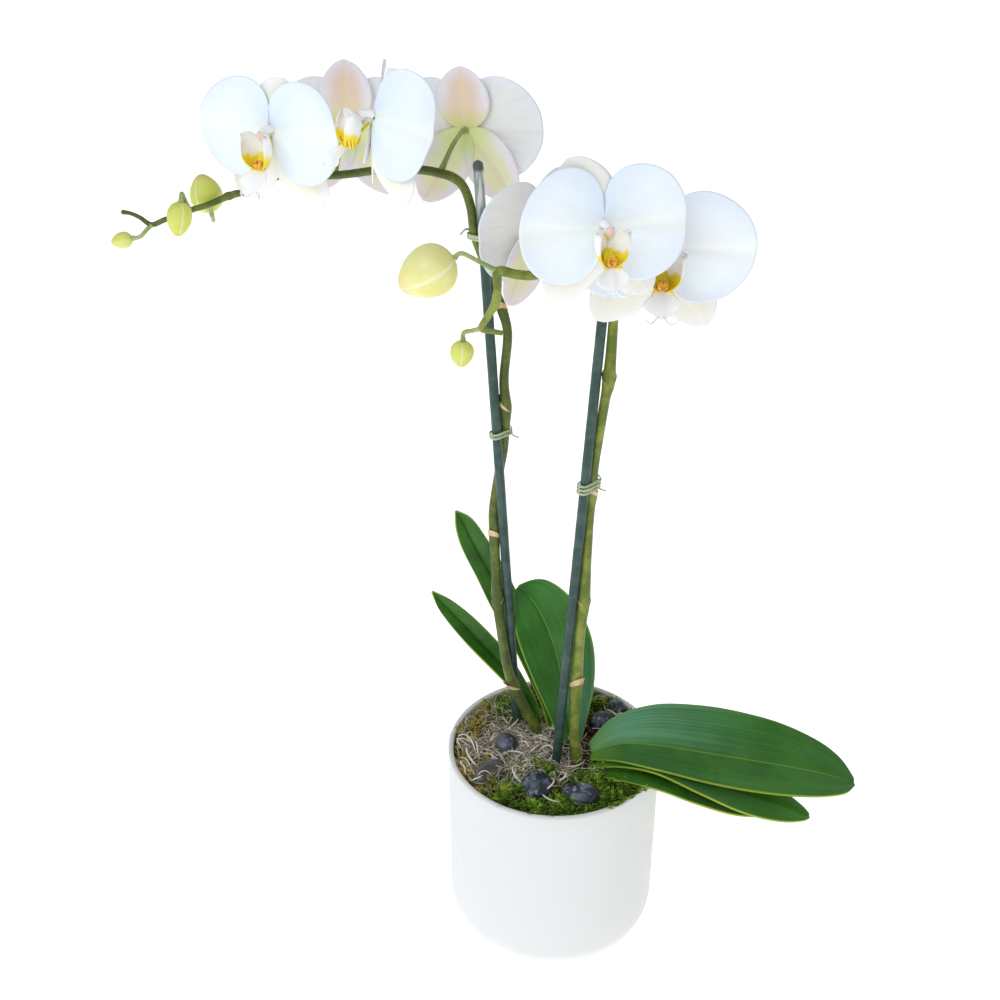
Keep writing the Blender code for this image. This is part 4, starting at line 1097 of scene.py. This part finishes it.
# Buds: (name, centre over the medium, length, width, lean, stem point)
LEFT_BUDS = [
    ("bud_1", (-0.2300, 0.1160, 0.3722), 0.0245, 0.0210, (-0.2, 0.1, 1.0), -7),
    ("bud_2", (-0.2405, 0.0815, 0.3666), 0.0215, 0.0155, (-0.2, -0.1, -1.0), -6),
    ("bud_3", (-0.2790, 0.0830, 0.3520), 0.0135, 0.0105, (-1.0, 0.0, -0.2), -4),
]
RIGHT_BUDS = [
    ("bud_4", (-0.0793, -0.0110, 0.3648), 0.0345, 0.0300, (-0.85, -0.1, -0.45), -7),
    ("bud_5", (-0.0608, -0.0030, 0.3115), 0.0160, 0.0140, (-0.1, 0.0, -1.0), -3),
]


def flower_frame(spot, yaw, pitch, roll):
    """Local x to the right and y up as the flower is faced, z out of its face."""
    yaw, pitch, roll = radians(yaw), radians(pitch), radians(roll)
    out = Vector((sin(yaw) * cos(pitch), -cos(yaw) * cos(pitch), sin(pitch)))
    flat = Vector((cos(yaw), sin(yaw), 0))
    rise = out.cross(flat)
    right = cos(roll) * flat + sin(roll) * rise
    up = cos(roll) * rise - sin(roll) * flat
    made = Matrix((right, up, out)).transposed().to_4x4()
    made.translation = over_medium(spot)
    return made


SEPAL_RISE = -(TEPAL_THICKNESS + CLEARANCE) * 0.68
PETAL_RISE = (TEPAL_THICKNESS + CLEARANCE) * 0.32
print("flowers:", len(LEFT_FLOWERS + RIGHT_FLOWERS), "buds:", len(LEFT_BUDS + RIGHT_BUDS))


# %% Stems, stalks and bracts
def bract(draft, path, index, radius, turn, length, finish):
    """A papery scale that hugs the stem at a node and curls away at its tip."""
    low, high = Vector(path[index][:3]), Vector(path[index + 2][:3])
    along = (high - low).normalized()
    first = along.orthogonal().normalized()
    other = along.cross(first)
    rows = []
    for i in range(9):
        t = i / 8
        spread = 2.6 * (1 - t) ** 0.8
        lift = 1.05 + 0.12 * t + 0.30 * t ** 4
        line = []
        for k in range(11):
            way = turn + spread * (2 * k / 10 - 1)
            out = first * cos(way) + other * sin(way)
            rough = 1 + 0.03 * noise.noise(Vector((k * 0.7, i * 0.8, index)))
            slant = along * length * 0.35 * cos(way - turn)
            line.append(low + along * length * 0.8 * t + slant + out * radius * lift * rough)
        rows.append(line)
    draft.grid(rows, None, finish)
    inner = [[p + along * 0.0001 - (p - low).normalized() * 0.00018 for p in line]
             for line in rows]
    draft.grid([line[::-1] for line in inner], None, finish)


def stalk(draft, spots, steps, share, swells, reaches):
    """A thin stalk, thicker where it leaves the stem and where it meets its bloom."""
    path = smooth_path(spots, steps)
    last = len(path) - 1
    radii = [PEDICEL_RADIUS * (share + swells[0] * exp(-(i / reaches[0]) ** 2)
                               + swells[1] * exp(-((i - last) / reaches[1]) ** 2))
             for i in range(last + 1)]
    draft.rod(path, radii, 12, 1)


STEM_STEPS = 10


def spike(label, node, controls, flowers, buds, bracts, main):
    draft = Draft()
    path = smooth_path(controls, STEM_STEPS)
    radii = []
    for i, row in enumerate(path):
        swell = 1 + 0.03 * noise.noise(Vector((i * 0.16, 1.0, 0.0)))
        for index, _, _ in bracts:
            swell += 0.14 * exp(-((i - index * STEM_STEPS) / 3.2) ** 2)
        radii.append(row[3] * swell)
    draft.rod([row[:3] for row in path], radii, 18)
    for index, turn, length in bracts:
        node_at = index * STEM_STEPS
        bract(draft, path, node_at, radii[node_at], turn, length, 2)
    for name, spot, width, yaw, pitch, roll, tall, top, bend, index in flowers:
        made = flower_frame(spot, yaw, pitch, roll)
        out = made.to_3x3() @ Vector((0, 0, 1))
        back = SEPAL_RISE - TEPAL_THICKNESS / 2 - 0.0002 - bend[2] * PEDICEL_RADIUS
        end = made.translation + out * back
        near, start = end - out * 0.009, Vector(controls[index][:3])
        middle = start.lerp(near, 0.55) + Vector((0, 0, 0.002))
        stalk(draft, [start, middle, near, end], 9, 0.88, (0.45, 0.35), (4, 5))
    for name, spot, length, width, lean, index in buds:
        axis = Vector(lean).normalized()
        base = over_medium(spot) - axis * (length / 2 + 0.0003)
        start, near = Vector(controls[index][:3]), base - axis * 0.005
        stalk(draft, [start, start.lerp(near, 0.5), near, base], 8, 0.78, (0.4, 0.3), (3, 3))
    draft.make(label, [main, light_stalk, dry_bract], "stem", [node])


spike("left_spike", "spike_left", left_controls, LEFT_FLOWERS, LEFT_BUDS,
      [(2, 2.6, 0.0065), (5, 0.6, 0.0070), (7, 3.4, 0.0060), (12, 2.0, 0.0075),
       (15, 3.6, 0.0060), (26, 1.2, 0.0050), (29, 4.0, 0.0045)], olive_stem)
spike("right_spike", "spike_right", right_controls, RIGHT_FLOWERS, RIGHT_BUDS,
      [(3, 4.4, 0.0080), (5, 1.2, 0.0065), (8, 3.0, 0.0065), (12, 0.8, 0.0060),
       (19, 2.4, 0.0050)], yellow_stem)

# %% [markdown]
# ## Raffia ties
# Strips of green raffia are wound round stake and stem. A strip is a flattened rod
# along the same winding as the solid cord, with two short loose ends.

# %% Ties
raffia, r, shader = new_finish("green_raffia", Roughness=0.75, Specular_IOR_Level=0.3)
threads = r.noise(r.stretched(r.lay(), (26.0, 3.0, 1.0)), 1.0, 3.0, 0.5)
share = r.between(threads, 0.38, 0.62)
r.feed(shader, "Base Color", r.blend(share, (0.33, 0.40, 0.22), (0.56, 0.60, 0.42)))
bump(r, shader, threads, 0.5, 0.0003)


TURN_STEPS, TIE_SLACK = 32, 0.0005


def tie(name, side, beside, height, turns, pitch):
    low = max(row for row in beside if row[0] <= height)
    high = min(row for row in beside if row[0] > height)
    share = (height - low[0]) / (high[0] - low[0])
    turn, free = mix(low[1], high[1], share), mix(low[2], high[2], share)
    thick = STEM_RADIUS * mix(low[3], high[3], share)
    apart = STAKE_RADIUS + thick + CLEARANCE + free
    way = heading_of(turn)
    across = Vector((-way.y, way.x, 0))
    axis = (stake_at(side, 0.3) - stake_at(side, 0.1)).normalized()
    clear = CLEARANCE + TIE_RADIUS + TIE_SLACK
    path = []
    for k in range(int(TURN_STEPS * turns) + 1):
        angle = 2 * pi * k / TURN_STEPS
        c, s = cos(angle), sin(angle)
        along = apart * ease(-0.35, 0.35, c)
        round_to = mix(STAKE_RADIUS, thick, ease(-0.5, 0.5, c)) + clear
        spot = way * (along + round_to * c) + across * round_to * s
        rise = pitch * (k / TURN_STEPS - turns / 2) + 0.0003 * sin(3 * angle)
        path.append(stake_at(side, height) + spot + axis * rise)
    draft = Draft()
    draft.rod(path, [TIE_RADIUS * (1.25 + 0.15 * sin(i * 0.5)) for i in range(len(path))],
              10, 0, 0.45, axis)
    for end, sign in ((path[0], -1), (path[-1], 1)):
        tail = [end, end + across * 0.003 * sign + axis * 0.001 * sign,
                end + across * 0.006 * sign + way * 0.002 - axis * 0.002]
        draft.rod(smooth_path(tail, 6), [TIE_RADIUS * 0.9] * 13, 8, 0, 0.4, axis)
    draft.make(name + "_strip", [raffia], "raffia", [name])


tie("tie_left_upper", "stake_left", LEFT_BESIDE, 0.363, 2.0, 0.0019)
tie("tie_left_lower", "stake_left", LEFT_BESIDE, 0.232, 2.0, 0.0024)
tie("tie_right", "stake_right", RIGHT_BESIDE, 0.214, 3.0, 0.0026)

# %% [markdown]
# ## Buds
# A bud is three sepals closed edge to edge. It is a ball, fuller at its stalk, with
# three shallow seams pressed in and a slight point where the sepals meet.

# %% Buds
def bud_finish(name, base, pale, flush, seam_tone):
    made, r, shader = new_finish(name, Specular_IOR_Level=0.4, Subsurface_Weight=0.12,
                                 Subsurface_Scale=0.003)
    place, lay = r.place(), r.lay()
    tone = mottled(r, place, base, pale, 45.0, 0.35, 0.70)
    across, along, _ = r.split(lay)
    seam = r.maths("ABSOLUTE", r.maths("SINE", r.maths("MULTIPLY", across, 3 * pi)))
    tone = r.blend(r.between(seam, 0.02, 0.20, 0.8, 0.0), tone, seam_tone)
    tone = r.blend(r.between(along, 0.72, 1.0, 0.0, 0.55), tone, flush)
    r.feed(shader, "Base Color", tone)
    veins = use_group(r, vein_tree, Lay=lay, Across=46.0, Along=1.5, Wander=0.2)
    grain = use_group(r, grain_tree, Place=place, Scale=900.0, Rough_low=0.40,
                      Rough_high=0.58, Coarse_scale=80.0)
    r.feed(shader, "Roughness", grain.outputs["Roughness"])
    bump(r, shader, veins.outputs["Soft"], 0.35, 0.0005)
    return made


green_bud = bud_finish("green_bud", (0.62, 0.66, 0.11), (0.72, 0.74, 0.20),
                       (0.62, 0.36, 0.18), (0.82, 0.82, 0.46))
pale_bud = bud_finish("pale_bud", (0.80, 0.76, 0.26), (0.86, 0.82, 0.40),
                      (0.82, 0.48, 0.36), (0.92, 0.88, 0.62))

for label, spot, length, width, lean, index in LEFT_BUDS + RIGHT_BUDS:
    axis = Vector(lean).normalized()
    seat = over_medium(spot)

    def bud_shape(unit):
        turn = atan2(unit.y, unit.x)
        seam = 1 - 0.055 * exp(-(sin(1.5 * turn) / 0.16) ** 2) * (1 - unit.z ** 4)
        full = (1 - 0.16 * unit.z) * seam
        point = 1 + 0.05 * ease(0.75, 1.0, unit.z)
        return Vector((unit.x * full * width / 2, unit.y * full * width / 2,
                       unit.z * point * length / 2))

    draft = Draft()
    draft.ball(seat, bud_shape, 0, 60, 32, axis.to_track_quat("Z", "Y").to_matrix())
    draft.make(label + "_closed", [pale_bud if label == "bud_4" else green_bud], "bud",
               [label])

# %% [markdown]
# ## Flower finishes
# The petals are white. Their front is painted bluish, most at the edge, as cool light
# from above, and it has fine veins that fan out from the middle. The sepals are cream in
# front. Behind, they carry a pink midrib, yellow-green near the stalk and lilac at the
# margin, so front and back are two finishes on one thin sheet.

# %% Petal and sepal finishes
def tepal_finish(name, middle, edge, base, vein_share, rib=None, base_reach=0.25):
    """Colours run from base to middle along the sheet, and to edge at its margin."""
    made, r, shader = new_finish(name, Specular_IOR_Level=0.32, Subsurface_Weight=0.10,
                                 Subsurface_Scale=0.004)
    place, lay = r.place(), r.lay()
    across, along, _ = r.split(lay)
    away = r.maths("MULTIPLY", r.maths("ABSOLUTE", r.maths("SUBTRACT", across, 0.5)), 2.0)
    wander = r.maths("SUBTRACT", r.noise(place, 90.0), 0.5)
    away = r.maths("MULTIPLY_ADD", wander, 0.3, away)
    tone = r.blend(r.between(away, 0.30, 0.88), middle, edge)
    tone = r.blend(r.between(along, 0.68, 0.98, 0.0, 0.8), tone, edge)
    start = r.maths("MULTIPLY_ADD", wander, 0.2, along)
    tone = r.blend(r.between(start, base_reach, 0.03), tone, base)
    if rib:
        tone = r.blend(r.between(away, 0.02, 0.20, 0.55, 0.0), tone, rib)
    veins = use_group(r, vein_tree, Lay=lay, Across=30.0, Along=2.2, Wander=0.10)
    shade = r.maths("MULTIPLY", veins.outputs["Lines"], vein_share)
    tone = r.blend(shade, tone, tuple(0.80 * value for value in edge))
    r.feed(shader, "Base Color", tone)
    grained(r, shader, place, 1600.0, 130.0, (0.50, 0.66), 0.16, 0.0005,
            veins.outputs["Soft"], 1.6)
    return made


# The petal front's bluish white, deepest at its margin, is painted cool light from above,
# and so is the faint blue at the back's margin.
petal_front = tepal_finish("petal_front", (0.885, 0.935, 0.975), (0.800, 0.865, 0.975),
                           (0.88, 0.91, 0.84), 0.06, (0.930, 0.925, 0.860))
petal_back = tepal_finish("petal_back", (0.86, 0.86, 0.84), (0.86, 0.87, 0.92),
                          (0.86, 0.84, 0.68), 0.20)
sepal_front = tepal_finish("sepal_front", (0.900, 0.870, 0.750), (0.925, 0.910, 0.880),
                           (0.84, 0.82, 0.52), 0.08)
side_sepal_back = tepal_finish("side_sepal_back", (0.82, 0.82, 0.50), (0.89, 0.81, 0.87),
                               (0.74, 0.80, 0.32), 0.10, (0.84, 0.66, 0.52), 0.42)
top_sepal_back = tepal_finish("top_sepal_back", (0.87, 0.66, 0.54), (0.88, 0.82, 0.88),
                              (0.80, 0.74, 0.30), 0.10, (0.86, 0.72, 0.46), 0.45)

# %% [markdown]
# ## Lip and column finishes
# The lip is the coloured part: white lobes, yellow towards the throat, red-brown
# stripes inside, and an orange callus. The column above it is white with a
# pinkish-orange cap.

# %% Lip and column finishes
lip_lobe, r, shader = new_finish("lip_lobe", Specular_IOR_Level=0.35,
                                 Subsurface_Weight=0.08, Subsurface_Scale=0.002)
place = r.place()
across, along, _ = r.split(r.lay())
wander = r.maths("MULTIPLY", r.maths("SUBTRACT", r.noise(place, 240.0), 0.5), 0.35)
start = r.maths("ADD", along, wander)
tone = r.blend(r.between(start, 0.28, 0.46), (0.90, 0.72, 0.015), (0.93, 0.92, 0.90))
lines = r.maths("MULTIPLY_ADD", across, 44.0, r.maths("MULTIPLY", wander, 6.0))
marks = r.maths("MULTIPLY", r.between(r.maths("SINE", lines), 0.35, 0.85),
                r.between(start, 0.26, 0.10))
tone = r.blend(r.maths("MULTIPLY", marks, 0.85), tone, (0.42, 0.060, 0.025))
r.feed(shader, "Base Color", tone)
grained(r, shader, place, 1500.0, 180.0, (0.38, 0.55), 0.22, 0.0004)


def spotted_finish(name, main, cast, spots, grain, rough, relief, **inputs):
    made, r, shader = new_finish(name, **inputs)
    place = r.place()
    r.feed(shader, "Base Color", mottled(r, place, main, cast, *spots))
    grained(r, shader, place, 1500.0, grain, rough, relief, 0.0004)
    return made


def column_finish(name, main, cast):
    return spotted_finish(name, main, cast, (150.0, 0.42, 0.64), 160.0, (0.36, 0.52), 0.15,
                          Specular_IOR_Level=0.4, Subsurface_Weight=0.10,
                          Subsurface_Scale=0.003)


callus_finish = spotted_finish("orange_callus", (0.90, 0.46, 0.025), (0.45, 0.075, 0.020),
                               (520.0, 0.50, 0.60, 0.85), 180.0, (0.25, 0.42), 0.3,
                               Specular_IOR_Level=0.5)
white_column = column_finish("white_column", (0.92, 0.90, 0.89), (0.88, 0.82, 0.86))
pink_cap = column_finish("pink_cap", (0.88, 0.62, 0.50), (0.90, 0.76, 0.70))


# %% [markdown]
# ## The flowers
# Three sepals lie behind two broad petals. A petal is drawn from its narrow claw
# outwards in fans of points, which gives the rounded wing shape directly, and then
# bent, creased along its axis and ruffled at the rim. The lip is a trowel with two
# upright ears, a callus between them and two fine curled tendrils at its tip.

# %% Sepals
def sepal(draft, made, axis, length, width, bend, sweep, finish, seed):
    c, s = cos(axis), sin(axis)

    def shape(t, across):
        swell = max(sin(pi * min(t, 0.999) ** 0.92), 0.0) ** 0.54
        half = width / 2 * max(swell, 0.20 * (1 - t) + 0.012)
        u, v = t * length, across * half
        x, y = u * c - v * s, u * s + v * c
        rise = SEPAL_RISE - bend * (x * x + y * y) - sweep * abs(x)
        rise -= 0.0016 * across ** 2 * sin(pi * t)
        rise += 0.0006 * exp(-(across / 0.12) ** 2) * sin(pi * t)
        rise += 0.0012 * t * t * noise.noise(Vector((x * 40, y * 40, seed)))
        return made @ Vector((x, y, rise)), ((across + 1) / 2, t)

    draft.sheet(26, 16, shape, finish, reverse=True)


# %% Petals
def petal(draft, made, side, width, tall, bend, sweep, seed):
    upper, lower = radians(93), radians(86)

    def shape(t, across):
        share = 0.03 + 0.97 * t ** 0.9
        turn = across * (upper if across > 0 else lower)
        full = max(1 - abs(across) ** 2.4, 0.0) ** 0.5
        full *= 1 + 0.016 * noise.noise(Vector((across * 3.0, seed, 2.0)))
        far = 0.50 * width * share * max(full, 0.10 * (1 - share) + 0.02)
        x = side * far * cos(turn)
        y = far * sin(turn) * tall / 0.675
        rise = PETAL_RISE + bend / width * x * x - 0.10 / width * y * y
        rise -= sweep * abs(x)
        rise -= 0.0013 * share * exp(-(turn / 0.11) ** 2)
        rise += 0.0026 * share ** 2 * noise.noise(Vector((turn * 1.3, share * 1.6, seed)))
        rise += 0.0010 * share ** 5 * sin(5.0 * turn + seed)
        return made @ Vector((x, y, rise)), ((across + 1) / 2, share)

    draft.sheet(28, 48, shape, reverse=side > 0)


# %% Lip and column
FINE_LIP = 0.0006
# The mid lobe, in flower widths: (up, out of the face, half width)
LIP_PATH = [(-0.030, 0.000, 0.016), (-0.090, 0.050, 0.022), (-0.150, 0.095, 0.034),
            (-0.200, 0.135, 0.056), (-0.240, 0.165, 0.098), (-0.278, 0.185, 0.086),
            (-0.312, 0.196, 0.044), (-0.334, 0.194, 0.016)]


def lip(made, label, width, base):
    draft = Draft()
    path = smooth_path(LIP_PATH, 4)
    last = len(path) - 1

    def mid_lobe(t, across):
        y, z, half = path[round(t * last)]
        edge = half * (1 + 0.10 * sin(14 * t + 2 * across))
        cup = 0.34 * half * across ** 2 * (1.2 - 1.5 * ease(0.5, 0.9, t))
        keel = 0.006 * exp(-(across / 0.16) ** 2)
        spot = Vector((across * edge * width, y * width, base + (z + cup + keel) * width))
        return made @ spot, ((across + 1) / 2, mix(0.10, 0.78, t))

    draft.sheet(last, 14, mid_lobe)
    for side in (-1, 1):
        foot = Vector((side * 0.020, -0.192, 0.085))
        along = Vector((side * 0.104, 0.010, 0.158)) - foot
        broad = Vector((side * 0.30, -0.50, 0.62)).normalized()
        inward = Vector((-side * 1.0, 0.2, 0.35)).normalized()

        def ear(t, across):
            half = 0.082 * max(sin(pi * (0.10 + 0.88 * t)), 0.03) ** 0.62
            curled = 0.040 * across ** 2 - 0.022 * sin(pi * t)
            spot = foot + along * t + broad * across * half + inward * curled
            spot = spot * width + Vector((0, 0, base))
            return made @ spot, ((across + 1) / 2, t * 0.9 - 0.22 * across)

        draft.sheet(14, 14, ear, reverse=side < 0)
    draft.make(label + "_lip_lobes", [lip_lobe], "lip", [label + "_lip"], thick=FINE_LIP)
    draft = Draft()
    for side in (-1, 1):

        def tooth(unit):
            bump_out = 1 + 0.12 * noise.noise(unit * 2.0 + Vector((side, width * 50, 0)))
            size = Vector((unit.x * 0.019, unit.y * 0.028, unit.z * 0.019))
            return size * width * bump_out

        place_at = Vector((side * 0.015 * width, -0.165 * width, base + 0.140 * width))
        draft.ball(made @ place_at, tooth, 0, 20, 12, made.to_3x3())
        curl_path = []
        for i in range(15):
            t = i / 14
            turn = -0.5 + 4.4 * t
            size = 0.040 * (1 - 0.45 * t)
            curl_path.append(made @ Vector((
                side * (0.012 + 0.075 * t) * width,
                (-0.326 - 0.016 * sin(turn) - 0.010 * t) * width,
                base + (0.196 + size * (1 - cos(turn)) * 0.75) * width)))
        draft.rod(curl_path, [0.0075 * width * (1 - 0.55 * i / 14) for i in range(15)],
                  8, 1)
    draft.make(label + "_callus", [callus_finish, white_column], "lip")


def column(made, label, width, base):
    draft = Draft()
    path = smooth_path([[0, 0.020, 0.000], [0, 0.024, 0.030], [0, 0.018, 0.060],
                        [0, 0.004, 0.084]], 6)
    radii = [width * (0.028 - 0.006 * sin(pi * i / 18) + 0.004 * (i / 18) ** 2)
             for i in range(len(path))]
    draft.rod([made @ Vector((x * width, y * width, base + z * width))
               for x, y, z in path], radii, 22)

    def cap(unit):
        beak = 1 + 0.22 * ease(0.3, 1.0, -unit.y)
        return Vector((unit.x * 0.029, unit.y * 0.026 * beak, unit.z * 0.024)) * width

    head = made @ Vector((0, 0.001 * width, base + 0.090 * width))
    draft.ball(head, cap, 1, 24, 14, made.to_3x3())
    draft.make(label + "_column_and_cap", [white_column, pink_cap], "column",
               [label + "_column"])


# %% All seven flowers
for number, row in enumerate(LEFT_FLOWERS + RIGHT_FLOWERS):
    label, spot, width, yaw, pitch, roll, tall, top, bend, index = row
    made = flower_frame(spot, yaw, pitch, roll)
    draft, curve, sweep = Draft(), bend[0] / width, bend[2]
    for turn, length, broad, finish in ((-54, 0.53, 0.33, 0), (-126, 0.53, 0.33, 0),
                                        (90 + top[1], top[0], 0.35, 2)):
        sepal(draft, made, radians(turn), length * width, broad * width, curve, sweep,
              finish, number + 0.01 * turn)
    draft.make(label + "_three_sepals",
               [sepal_front, side_sepal_back, sepal_front, top_sepal_back], "sepal",
               [label + "_sepals"], thick=FINE_TEPAL)
    draft = Draft()
    for side in (-1, 1):
        petal(draft, made, side, width, tall, bend[1], sweep, number + 0.5 * side)
    draft.make(label + "_two_petals", [petal_front, petal_back], "petal",
               [label + "_petals"], thick=FINE_TEPAL)
    face = PETAL_RISE + TEPAL_THICKNESS / 2 + CLEARANCE
    lip(made, label, width, face)
    column(made, label, width, face)

# %% [markdown]
# ## Last check
# The dressed plant must stay inside the solid model's box, apart from a little at the
# petals' rims and the lips' tendrils. How far it reaches beyond that box on each side is
# printed.

# %% Compare the boxes and finish
dressed_box = [list(corner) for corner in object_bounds()]
for axis, label in enumerate("xyz"):
    low = cad_box[0][axis] - dressed_box[0][axis]
    high = dressed_box[1][axis] - cad_box[1][axis]
    print(label, "beyond the solid model, mm:", round(low * 1000, 1), round(high * 1000, 1))
